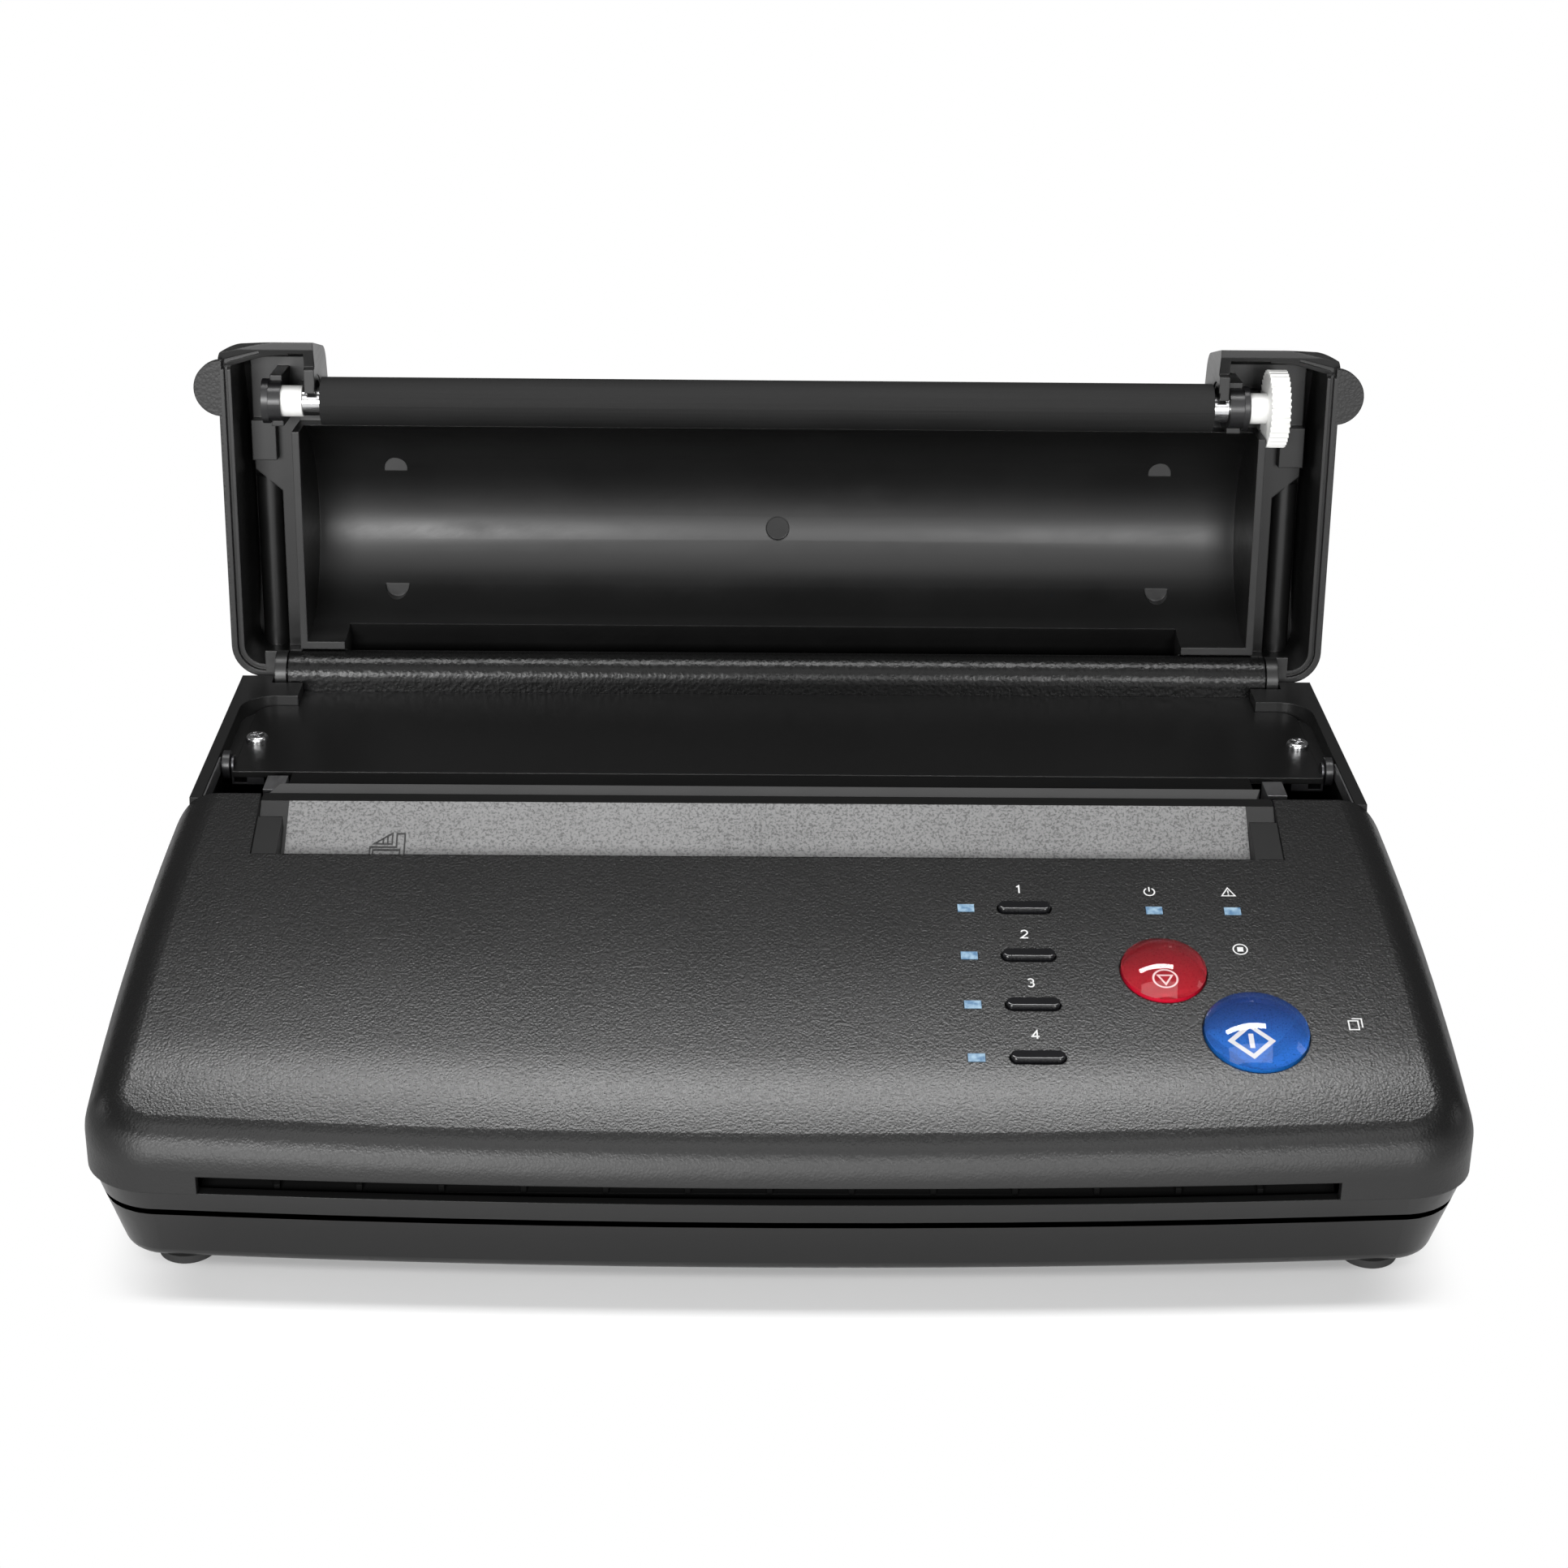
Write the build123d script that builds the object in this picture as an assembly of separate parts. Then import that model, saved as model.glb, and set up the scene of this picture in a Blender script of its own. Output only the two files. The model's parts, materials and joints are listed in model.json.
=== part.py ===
"""A desktop thermal stencil copier, piece by piece, in millimetres.

Places are measured from the hinge line of the lid: X to the right, Y backwards, Z up from the rim of the
base. The last section moves everything so that the machine stands on Z = 0, centred front to back.
The lid and all that it carries are drawn closed, then turned up to the open position.
"""

import os
from math import acos, atan2, cos, degrees, hypot, pi, radians, sin, sqrt, tan

from build123d import *

# ------------------------------------------------------------------ driving dimensions

# the whole machine
HALF_WIDTH = 136.2           # half the lid's width, which everything across the machine follows
RIM_HEIGHT = 66.4            # rim of the base above the table
HINGE_SETBACK = 72.5         # hinge line behind the middle of the open machine
OPEN_ANGLE = 94.8            # lid's swing from closed to its open stop

# clearances
MOVING_GAP = 0.3             # between pieces that move past each other
RUNNING_GAP = 0.05           # shaft in bearing, on the radius
SEAT_GAP = 0.02              # pressed or glued pieces
SHELL_GAP = 0.1              # fixed shells and plates side by side

# base shells
WALL = 2.4                   # wall of the plastic shells
SEAM_Z = -44.3               # seam between the cover and the case
CASE_BOTTOM_Z = -64.4        # underside of the case
BOTTOM_INSET = 7.0           # how far the case draws in at the bottom
SEAM_STEP = 0.8              # case set back under the cover
BOTTOM_RADIUS = 4.0
FRONT_Y = -178.0             # middle of the bowed front
FRONT_BOW = 5.1              # how much the front corners lie behind its middle
FRONT_HALF_WIDTH = HALF_WIDTH + 6.8
WAIST_HALF_WIDTH = HALF_WIDTH + 5.2
WAIST_Y = -120.0
SHOULDER_HALF_WIDTH = HALF_WIDTH + 0.8
COVER_REAR_Y = -76.9         # rear edge of the cover
REAR_HALF_WIDTH = HALF_WIDTH + 0.2
REAR_Y = 10.0
FRONT_CORNER_RADIUS = 16.0
REAR_CORNER_RADIUS = 10.0
RIM_HALF_WIDTH = HALF_WIDTH - 2.6
RIM_REAR_Y = 8.4
RIM_BAND = 2.7               # width of the rim around the deck

# sloping panel of the cover
PANEL_TOP_Y = -78.7
PANEL_TOP_Z = 0.6
PANEL_SLOPE = 18.86
PANEL_EDGE_RADIUS = 9.6
COVER_EAR_RADIUS = 5.0       # rounding of the cover's rear corners, seen from above

# document path
TRAY_LEFT = 19.0 - HALF_WIDTH
TRAY_RIGHT = HALF_WIDTH - 24.2
LIP_REAR_Y = -74.0
RECESS_TOP_Y = -78.2
RECESS_FRONT_Y = -95.5
RECESS_SLOPE = 36.3
PATH_DROP = 10.6             # path below the panel, measured straight down
TRAY_SKIN = 1.8
TRAY_FRONT_Y = FRONT_Y + 21.5
PAPER_GAP = 2.0              # height of the document path
GUIDE_BLOCK_WIDTH = 5.6
GUIDE_BLOCK_REAR_Y = -83.5
RAIL_WIDTH = 4.5
UPPER_GUIDE_SKIN = 0.8
UPPER_GUIDE_REAR_Y = -100.5
SLOT_LEFT = 18.2 - HALF_WIDTH
SLOT_RIGHT = HALF_WIDTH - 22.9
SLOT_HEIGHT = 4.5
SLOT_SILL = 0.3              # slot's floor below the seam
EXIT_RIB_PITCH = 16.7
EXIT_RIB_WIDTH = 1.2
EXIT_RIB_HEIGHT = 1.6
EXIT_FRONT_Y = FRONT_Y + 7.0

# keys and buttons, as (x, y) on the panel
KEY_X = HALF_WIDTH - 83.1
KEY_YS = (-110.5, -124.1, -137.7, -151.9)
KEY_LENGTH = 11.4
KEY_WIDTH = 2.8
KEY_PROUD = 1.2
KEY_TRAVEL = 0.8
STOP_PLACE = (HALF_WIDTH - 54.6, -128.1)
STOP_RADIUS = 9.1
STOP_DOME = 3.2
COPY_PLACE = (HALF_WIDTH - 36.9, -144.9)
COPY_RADIUS = 11.0
COPY_DOME = 4.0
BUTTON_PROUD = 0.8
BUTTON_TRAVEL = 1.0
BUTTON_FLANGE = 1.2          # flange beyond the button's radius
FLANGE_THICKNESS = 0.9
LED_X = HALF_WIDTH - 95.85
POWER_LED = (HALF_WIDTH - 54.8, -110.9)
ERROR_LED = (HALF_WIDTH - 37.7, -111.0)
LED_LENGTH = 3.6
LED_WIDTH = 2.2
LED_PROUD = 0.15
BOARD_DEPTH = 6.0            # key board's top below the panel's face
BOARD_THICKNESS = 1.0
BOARD_LEFT = HALF_WIDTH - 102.7
BOARD_RIGHT = HALF_WIDTH - 21.2
BOARD_PILLARS = (
    (BOARD_LEFT + 3.0, -104.2),
    (BOARD_RIGHT - 3.0, -118.0),
    (BOARD_LEFT + 3.0, -157.5),
    (BOARD_RIGHT - 3.0, -157.5),
)
BOARD_REAR_Y = -102.5
BOARD_FRONT_Y = -159.0
SWITCH_SIDE = 5.0
SWITCH_HEIGHT = 1.1

# lid, drawn closed
LID_HALF_WIDTH = HALF_WIDTH
LID_FRONT_Y = -83.0
LID_CORNER_Y = -80.2
LID_CORNER_X = HALF_WIDTH - 12.2
LID_REAR_Y = 1.1
LID_REAR_RADIUS = 8.0
LID_TOP_Z = 31.0
LID_SKIN = 2.4
LID_SIDE = 3.2               # side wall with its rim
LID_EDGE_RADIUS = 5.0
LID_RELIEF = 0.5             # lid above the panel where it closes over the cover
NOTCH_LEFT = 23.3 - HALF_WIDTH
NOTCH_RIGHT = HALF_WIDTH - 29.4
BROW_Y = -70.3
ROLLER_CEILING = 14.5
WEB_Z = 17.5
WEB_OUT = HALF_WIDTH - 5.2
CAVITY_Y = -35.0
CAVITY_Z = 1.5
CAVITY_RADIUS = 27.0
CAVITY_HALF_LENGTH = HALF_WIDTH - 19.0
END_WALL = 1.8
SHELF_OUT = HALF_WIDTH - 11.7
COLUMN_X = HALF_WIDTH - 8.2
COLUMN_RADIUS = 3.3
PAD_HEIGHT = 3.5
EAR_Y = -71.6
EAR_RADIUS = 6.8
EAR_REACH = HALF_WIDTH + 6.0
EAR_THICKNESS = 2.6
GROOVE_INSET = 1.5
GROOVE_WIDTH = 0.8
GROOVE_DEPTH = 1.2
EJECTOR_RADIUS = 2.95
EJECTOR_X = HALF_WIDTH - 39.2
EJECTOR_PLACES = ((-EJECTOR_X, -46.6), (EJECTOR_X, -46.6), (-EJECTOR_X, -17), (EJECTOR_X, -17), (0, -31))
INLET_LEFT = 28.2 - HALF_WIDTH
INLET_RIGHT = HALF_WIDTH - 35.2
INLET_HEIGHT = 4.8           # rear paper inlet, above the bar

# hinge
HINGE_RISE = 0.3             # hinge line above the rim, which is also the lid's gap to the rim
BAR_RADIUS = 5.7
BAR_HALF_LENGTH = HALF_WIDTH - 14.4
BAR_FOOT_Z = -8.0
KNUCKLE_RADIUS = 5.5
KNUCKLE_OUT = HALF_WIDTH - 11.2
HINGE_PIN_RADIUS = 1.5
HINGE_PIN_IN = HALF_WIDTH - 28.2

# platen roller, drawn with the lid closed
PLATEN_Y = -67.8
PLATEN_Z = 5.0
PLATEN_RADIUS = 5.85
RUBBER_LEFT = 24.4 - HALF_WIDTH
RUBBER_RIGHT = HALF_WIDTH - 30.3
SHAFT_RADIUS = 3.5
JOURNAL_RADIUS = 2.5
SHAFT_LEFT = 19.9 - HALF_WIDTH
SHAFT_RIGHT = HALF_WIDTH - 26.3
BUSH_RADIUS = 3.8
BEARING_RADIUS = 4.9
LEFT_BEARING = (11.7 - HALF_WIDTH, 14.7 - HALF_WIDTH)
RIGHT_BEARING = (HALF_WIDTH - 26.3, HALF_WIDTH - 22.8)
FLANGE_HEIGHT = 11.0
FLANGE_DEPTH = 9.0
LEFT_FLANGE_OUT = 10.0 - HALF_WIDTH
RIGHT_FLANGE_OUT = HALF_WIDTH - 21.4
HUB_RADIUS = 3.75

# gears: one plane at the right-hand side
GEAR_MODULE = 0.5
GEAR_LEFT = HALF_WIDTH - 16.9
GEAR_RIGHT = HALF_WIDTH - 12.3
PLATEN_TEETH = 36
FIRST_IDLER_TEETH = 24
SECOND_IDLER_TEETH = 52
ROLLER_TEETH = 36
THIRD_IDLER_TEETH = 56
PINION_TEETH = 12
TOOTH_SLACK = 0.12           # backlash at the pitch circle
POST_RADIUS = 1.5

# deck and thermal head
DECK_Z = -2.5
DECK_THICKNESS = 1.5
DECK_HALF_WIDTH = HALF_WIDTH - 8.7
DECK_REAR_HALF_WIDTH = HALF_WIDTH - 18.4
DECK_FRONT_Y = -56.0
DECK_CORNER_Y = -15.4
SHOULDER_FRONT_Y = -15.0
SHOULDER_RADIUS = 8.0
SHOULDER_REAR_Y = -1.5
REAR_LEDGE_Z = -2.6
LEDGE_IN = HALF_WIDTH - 18.2
LEDGE_FRONT_Y = -48.0
DECK_SCREW = (HALF_WIDTH - 11.7, -37.8)
SCREW_HEAD_RADIUS = 2.7
SCREW_HEAD_HEIGHT = 1.7
SCREW_SHANK_RADIUS = 1.4
STRIP_LEFT = 22.8 - HALF_WIDTH
STRIP_RIGHT = HALF_WIDTH - 26.2
STRIP_FRONT_Y = -62.6
STRIP_SKIN = 1.2
HEAD_LEFT = 20.2 - HALF_WIDTH
HEAD_RIGHT = HALF_WIDTH - 25.2
HEAD_REAR_Y = -65.6
HEAD_FRONT_Y = -73.6
HEAD_TOP_Z = -1.3
HEAD_THICKNESS = 2.0
HEAD_END_SLANT = 2.4
SINK_BOTTOM_Z = -9.0
SHEET = 1.2                  # sheet steel
BEAM_TOP_Z = -14.5
TAB_TOP_Z = -1.8
TAB_REAR_Y = -60.0
TAB_FRONT_Y = -68.0

# side frames
LEFT_FRAME_X = 17.7 - HALF_WIDTH
RIGHT_FRAME_X = HALF_WIDTH - 20.4
FRAME_REAR_Y = -50.0
FRAME_FRONT_Y = FRONT_Y + 22.0
FEED_Y = -108.0              # where the feed roller touches the document
EXIT_Y = -150.0
FEED_RADIUS = 5.85
FEED_PROUD = 0.5             # roller above the path's floor
FEED_SHAFT_RADIUS = 3.0
RING_WIDTH = 30.0
RING_PITCH = 0.39 * HALF_WIDTH
RING_XS = [(TRAY_LEFT + TRAY_RIGHT) / 2 + step * RING_PITCH for step in (-1.5, -0.5, 0.5, 1.5)]
ROLLER_BUSH_RADIUS = 4.0
ROLLER_BUSH_FLANGE = 5.2
MOTOR_RADIUS = 17.5
MOTOR_LENGTH = 22.0
MOTOR_BEARING = -75.0        # direction of the motor from the second idler, in degrees
MOTOR_BOSS_RADIUS = 5.0
MOTOR_SHAFT_RADIUS = 1.5

# line scanner under the document path
SCANNER_Y = -129.0
SCANNER_X = (TRAY_LEFT + TRAY_RIGHT) / 2
SCANNER_LENGTH = TRAY_RIGHT - TRAY_LEFT - 15.0
SCANNER_WIDTH = 15.0
SCANNER_HEIGHT = 11.0
GLASS_THICKNESS = 1.2

# springs under the thermal head
SPRING_XS = [share * HALF_WIDTH for share in (-0.70, -0.24, 0.22, 0.62)]
SPRING_RADIUS = 2.2
SPRING_WIRE = 0.35

# catch rollers and strips beside the deck
CATCH_Y = -52.0
CATCH_Z = -2.5
CATCH_RADIUS = 3.3
CATCH_LEFT = HALF_WIDTH - 7.9 # ends of the right-hand roller
CATCH_RIGHT = HALF_WIDTH - 6.2
CATCH_PIN_RADIUS = 1.0
CATCH_EAR = 0.5              # thickness of the steel ear
SIDE_STRIP_OUT = HALF_WIDTH - 5.4
SIDE_STRIP_THICKNESS = 0.4

# electrics, screws and feet
BOARD_POST_XS = (40.2 - HALF_WIDTH, HALF_WIDTH - 84.2)
BOARD_POST_YS = (-44.0, -8.0)
BOARD_POSTS = [(x, y) for x in BOARD_POST_XS for y in BOARD_POST_YS]
BOARD_Z = -57.0
BOARD_SKIN = 1.6
BOARD_BOXES = (
    # right and back from the board's first post, length, width, height
    (76, 10, 14, 14, 1.4),
    (101, 8, 8, 12, 1.2),
    (36, 2, 16, 6, 7.0),
    (58, 2, 14, 6, 7.0),
    (116, 2, 24, 6, 7.0),
    (40, 16, 22, 20, 14.0),
    (122, 20, 8, 16, 4.0),
)
BOARD_CANS = ((16, 14, 5.0, 16.0), (30, 18, 5.0, 16.0), (16, 28, 4.0, 12.0))
SUPPLY_RIGHT = HALF_WIDTH - 26.2
SUPPLY_LENGTH = 48.0
SUPPLY_WIDTH = 42.0
SUPPLY_REAR_Y = -4.0
SUPPLY_HEIGHT = 28.0
INLET_X = 40.2 - HALF_WIDTH
INLET_Z = -40.0
INLET_WIDTH = 27.4
INLET_TALL = 19.8
ROCKER_X = 74.2 - HALF_WIDTH
ROCKER_WIDTH = 13.0
ROCKER_TALL = 19.0
ROCKER_AXIS_Y = REAR_Y - 3.5
ROCKER_TILT = 10.0           # swing to each side of the middle
CASE_SCREWS = ((HALF_WIDTH - 7.7, -143.0), (HALF_WIDTH - 7.7, -100.0))
BOSS_TOP_Z = -50.0           # where the cover's pillars stand on the case's bosses
BOSS_RADIUS = 3.1
CASE_SCREW_LENGTH = 24.0
FEET = ((HALF_WIDTH - 12.6, -160.0), (HALF_WIDTH - 18.2, -8.0))
FOOT_RADIUS = 6.0

FLOOR_Z = CASE_BOTTOM_Z + WALL
HINGE_Z = HINGE_RISE
SLOPE_TAN = tan(radians(PANEL_SLOPE))
SLOPE_COS = cos(radians(PANEL_SLOPE))
SLOPE_SIN = sin(radians(PANEL_SLOPE))
PANEL = Plane(origin=(0, PANEL_TOP_Y, PANEL_TOP_Z), x_dir=(1, 0, 0), z_dir=(0, -SLOPE_SIN, SLOPE_COS))


# ------------------------------------------------------------------ helpers


def block(x0, x1, y0, y1, z0, z1):
    """A box between two corners."""
    return Pos((x0 + x1) / 2, (y0 + y1) / 2, (z0 + z1) / 2) * Box(x1 - x0, y1 - y0, z1 - z0)


def rod(x0, x1, y, z, radius):
    """A round bar along X."""
    return Pos((x0 + x1) / 2, y, z) * Rot(0, 90, 0) * Cylinder(radius, x1 - x0)


def tube(x0, x1, y, z, outer, inner):
    """A round tube along X."""
    return rod(x0, x1, y, z, outer) - rod(x0 - 1, x1 + 1, y, z, inner)


def post(x, y, z0, z1, radius):
    """A round bar along Z."""
    return Pos(x, y, (z0 + z1) / 2) * Cylinder(radius, z1 - z0)


def outline(corners):
    """A closed flat shape through corners given as (u, v, rounding)."""
    face = make_face(Polyline(*[(u, v) for u, v, rounding in corners], close=True))
    for u, v, rounding in corners:
        if rounding:
            corner = face.vertices().sort_by_distance((u, v, 0))[0]
            face = fillet(corner, rounding)
    return face


def side_prism(corners, x0, x1):
    """A profile of (y, z, rounding) corners, drawn out along X."""
    return extrude(Plane.YZ.offset(x0) * outline(corners), amount=x1 - x0)


def plan_prism(corners, z0, z1):
    """A plan of (x, y, rounding) corners, drawn out along Z."""
    return extrude(Plane.XY.offset(z0) * outline(corners), amount=z1 - z0)


def both_sides(shape):
    """A shape and its mirror image across the middle."""
    return shape + mirror(shape, Plane.YZ)


def panel_z(y):
    """Height of the panel's face above a place y."""
    return PANEL_TOP_Z + (y - PANEL_TOP_Y) * SLOPE_TAN


def path_z(y):
    """Height of the document path's floor."""
    return panel_z(y) - PATH_DROP


def on_panel(place, depth=0.0):
    """Location on the panel at (x, y), sunk by depth along its normal."""
    x, y = place
    return PANEL * Pos(x, (y - PANEL_TOP_Y) / SLOPE_COS, -depth)


def panel_disc(place, radius, low, high):
    """A round piece standing on the panel's normal between two heights."""
    return on_panel(place, -(low + high) / 2) * Cylinder(radius, high - low)


def panel_slot(place, length, width, low, high):
    """A round-ended bar on the panel's normal between two heights."""
    return extrude(on_panel(place, -low) * SlotOverall(length, width), amount=high - low)


# ------------------------------------------------------------------ shells of the base


def base_outline(inset):
    """The base seen from above, drawn in by inset: waisted sides and a bowed front."""
    corner_y = FRONT_Y + FRONT_BOW
    rear = (REAR_HALF_WIDTH - inset, REAR_Y - inset)
    shoulder = (SHOULDER_HALF_WIDTH - inset, COVER_REAR_Y)
    waist = (WAIST_HALF_WIDTH - inset, WAIST_Y)
    corner = (FRONT_HALF_WIDTH - inset, corner_y + inset)
    front = (0, FRONT_Y + inset)
    left_corner = (-corner[0], corner[1])
    left_waist = (-waist[0], waist[1])
    left_shoulder = (-shoulder[0], shoulder[1])
    left_rear = (-rear[0], rear[1])
    edges = [
        Line(rear, shoulder),
        ThreePointArc(shoulder, waist, corner),
        ThreePointArc(corner, front, left_corner),
        ThreePointArc(left_corner, left_waist, left_shoulder),
        Line(left_shoulder, left_rear),
        Line(left_rear, rear),
    ]
    face = make_face(edges)
    for place, radius in (
        (corner, FRONT_CORNER_RADIUS - inset),
        (left_corner, FRONT_CORNER_RADIUS - inset),
        (rear, REAR_CORNER_RADIUS - inset),
        (left_rear, REAR_CORNER_RADIUS - inset),
    ):
        vertex = face.vertices().sort_by_distance((*place, 0))[0]
        face = fillet(vertex, max(radius, 2.0))
    return face


def rear_outline(half_width, rear_y, inset):
    """The raised rear of the case seen from above."""
    radius = REAR_CORNER_RADIUS - inset
    return outline(
        [
            (half_width - inset, COVER_REAR_Y + SHELL_GAP, 0),
            (half_width - inset, rear_y - inset, radius),
            (inset - half_width, rear_y - inset, radius),
            (inset - half_width, COVER_REAR_Y + SHELL_GAP, 0),
        ]
    )


def case_body(inset, bottom_z, rim_z):
    """The case as a solid drawn in by inset, from its bottom to the rim."""
    tub = loft(
        [
            Plane.XY.offset(bottom_z) * base_outline(BOTTOM_INSET + inset / 2),
            Plane.XY.offset(SEAM_Z) * base_outline(SEAM_STEP + inset),
        ],
        ruled=True,
    )
    tower = loft(
        [
            Plane.XY.offset(SEAM_Z) * rear_outline(REAR_HALF_WIDTH - SEAM_STEP, REAR_Y - SEAM_STEP, inset),
            Plane.XY.offset(rim_z) * rear_outline(RIM_HALF_WIDTH, RIM_REAR_Y, inset),
        ],
        ruled=True,
    )
    return tub, tower


def rim_plate():
    """The top of the raised rear: a rim with a shoulder at each side of the hinge."""
    plate = plan_prism(
        [
            (RIM_HALF_WIDTH, COVER_REAR_Y + SHELL_GAP, 0),
            (RIM_HALF_WIDTH, RIM_REAR_Y, REAR_CORNER_RADIUS),
            (-RIM_HALF_WIDTH, RIM_REAR_Y, REAR_CORNER_RADIUS),
            (-RIM_HALF_WIDTH, COVER_REAR_Y + SHELL_GAP, 0),
        ],
        REAR_LEDGE_Z - WALL,
        0,
    )
    well = RIM_HALF_WIDTH - RIM_BAND
    opening = plan_prism(
        [
            (well, COVER_REAR_Y - 1, 0),
            (well, SHOULDER_FRONT_Y, SHOULDER_RADIUS),
            (-well, SHOULDER_FRONT_Y, SHOULDER_RADIUS),
            (-well, COVER_REAR_Y - 1, 0),
        ],
        REAR_LEDGE_Z - WALL - 1,
        1,
    )
    bar_bay = block(
        -DECK_REAR_HALF_WIDTH - SHELL_GAP,
        DECK_REAR_HALF_WIDTH + SHELL_GAP,
        SHOULDER_FRONT_Y - 1,
        -BAR_RADIUS,
        REAR_LEDGE_Z - WALL - 1,
        1,
    )
    knuckle_bay = block(
        -KNUCKLE_OUT - 2 * MOVING_GAP,
        KNUCKLE_OUT + 2 * MOVING_GAP,
        -BAR_RADIUS - 2 * MOVING_GAP,
        BAR_RADIUS + MOVING_GAP,
        REAR_LEDGE_Z - WALL - 1,
        1,
    )
    low_rear = block(-RIM_HALF_WIDTH - 1, RIM_HALF_WIDTH + 1, SHOULDER_REAR_Y, REAR_Y, REAR_LEDGE_Z, 1)
    return plate - opening - bar_bay - knuckle_bay - low_rear




def lower_case():
    """The bottom shell, with the raised rear that carries the hinge bar and the deck."""
    tub, tower = case_body(0, CASE_BOTTOM_Z, 0)
    tub = fillet(tub.faces().sort_by(Axis.Z)[0].edges(), BOTTOM_RADIUS)
    inner_tub, inner_tower = case_body(WALL, FLOOR_Z, 1)
    shaft = block(
        WALL - REAR_HALF_WIDTH + BOTTOM_INSET,
        REAR_HALF_WIDTH - BOTTOM_INSET - WALL,
        COVER_REAR_Y,
        SHOULDER_FRONT_Y,
        SEAM_Z - 2,
        SEAM_Z + 2,
    )
    case = tub + tower - inner_tub - inner_tower - shaft
    case -= block(-200, 200, SHOULDER_REAR_Y, REAR_Y + 1, REAR_LEDGE_Z, 2)
    case += rim_plate()
    deck_bottom = DECK_Z - DECK_THICKNESS
    ledge = block(LEDGE_IN, RIM_HALF_WIDTH - 1, LEDGE_FRONT_Y, SHOULDER_FRONT_Y + 1, deck_bottom - WALL, deck_bottom)
    case += both_sides(ledge)
    shelf = block(-BAR_HALF_LENGTH, BAR_HALF_LENGTH, -BAR_RADIUS, RIM_REAR_Y, BAR_FOOT_Z - WALL, BAR_FOOT_Z)
    case += shelf
    case -= block(-BAR_HALF_LENGTH - SHELL_GAP, BAR_HALF_LENGTH + SHELL_GAP, -BAR_RADIUS, BAR_RADIUS + SHELL_GAP, BAR_FOOT_Z, 2)
    case -= both_sides(rod(BAR_HALF_LENGTH, KNUCKLE_OUT + MOVING_GAP, 0, HINGE_Z, KNUCKLE_RADIUS + MOVING_GAP))
    case -= both_sides(post(*DECK_SCREW, deck_bottom - WALL - 1, deck_bottom + 1, SCREW_SHANK_RADIUS + SEAT_GAP))
    for x, y in CASE_SCREWS:
        case += both_sides(post(x, y, FLOOR_Z - 0.5, BOSS_TOP_Z, BOSS_RADIUS))
        hole = post(x, y, CASE_BOTTOM_Z - 1, BOSS_TOP_Z + 1, SCREW_SHANK_RADIUS + MOVING_GAP)
        sink = post(x, y, CASE_BOTTOM_Z - 1, CASE_BOTTOM_Z + SCREW_HEAD_HEIGHT - 0.5, SCREW_HEAD_RADIUS + MOVING_GAP)
        case -= both_sides(hole + sink)
    for x, y in BOARD_POSTS:
        case += post(x, y, FLOOR_Z, BOARD_Z, 3.0)
    case -= block(SLOT_LEFT, SLOT_RIGHT, FRONT_Y - 2, EXIT_FRONT_Y, SEAM_Z - SLOT_SILL, SEAM_Z + 1)
    half_inlet = INLET_WIDTH / 2
    half_rocker = ROCKER_WIDTH / 2
    case -= block(INLET_X - half_inlet, INLET_X + half_inlet, 0, REAR_Y + 1, INLET_Z - INLET_TALL / 2, INLET_Z + INLET_TALL / 2)
    case -= block(ROCKER_X - half_rocker, ROCKER_X + half_rocker, 0, REAR_Y + 1, INLET_Z - ROCKER_TALL / 2, INLET_Z + ROCKER_TALL / 2)
    return case


def cover_body(inset, rear_y):
    """The cover as a solid drawn in by inset: straight skirts under a sloping, rounded top."""
    tall = extrude(Plane.XY.offset(SEAM_Z) * base_outline(inset), amount=10 - SEAM_Z)
    tall -= block(-200, 200, rear_y, 40, SEAM_Z - 1, 20)
    above = PANEL * Pos(0, 0, 50 - inset) * Box(400, 400, 100)
    body = tall - above
    top = body.faces().sort_by(Axis((0, 0, 0), PANEL.z_dir))[-1]
    rim = [edge for edge in top.edges() if edge.center().Y < rear_y - 0.5]
    return fillet(rim, PANEL_EDGE_RADIUS - inset)


def key_place(index):
    return (KEY_X, KEY_YS[index])


def led_places():
    return [(LED_X, y) for y in KEY_YS] + [POWER_LED, ERROR_LED]


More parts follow.
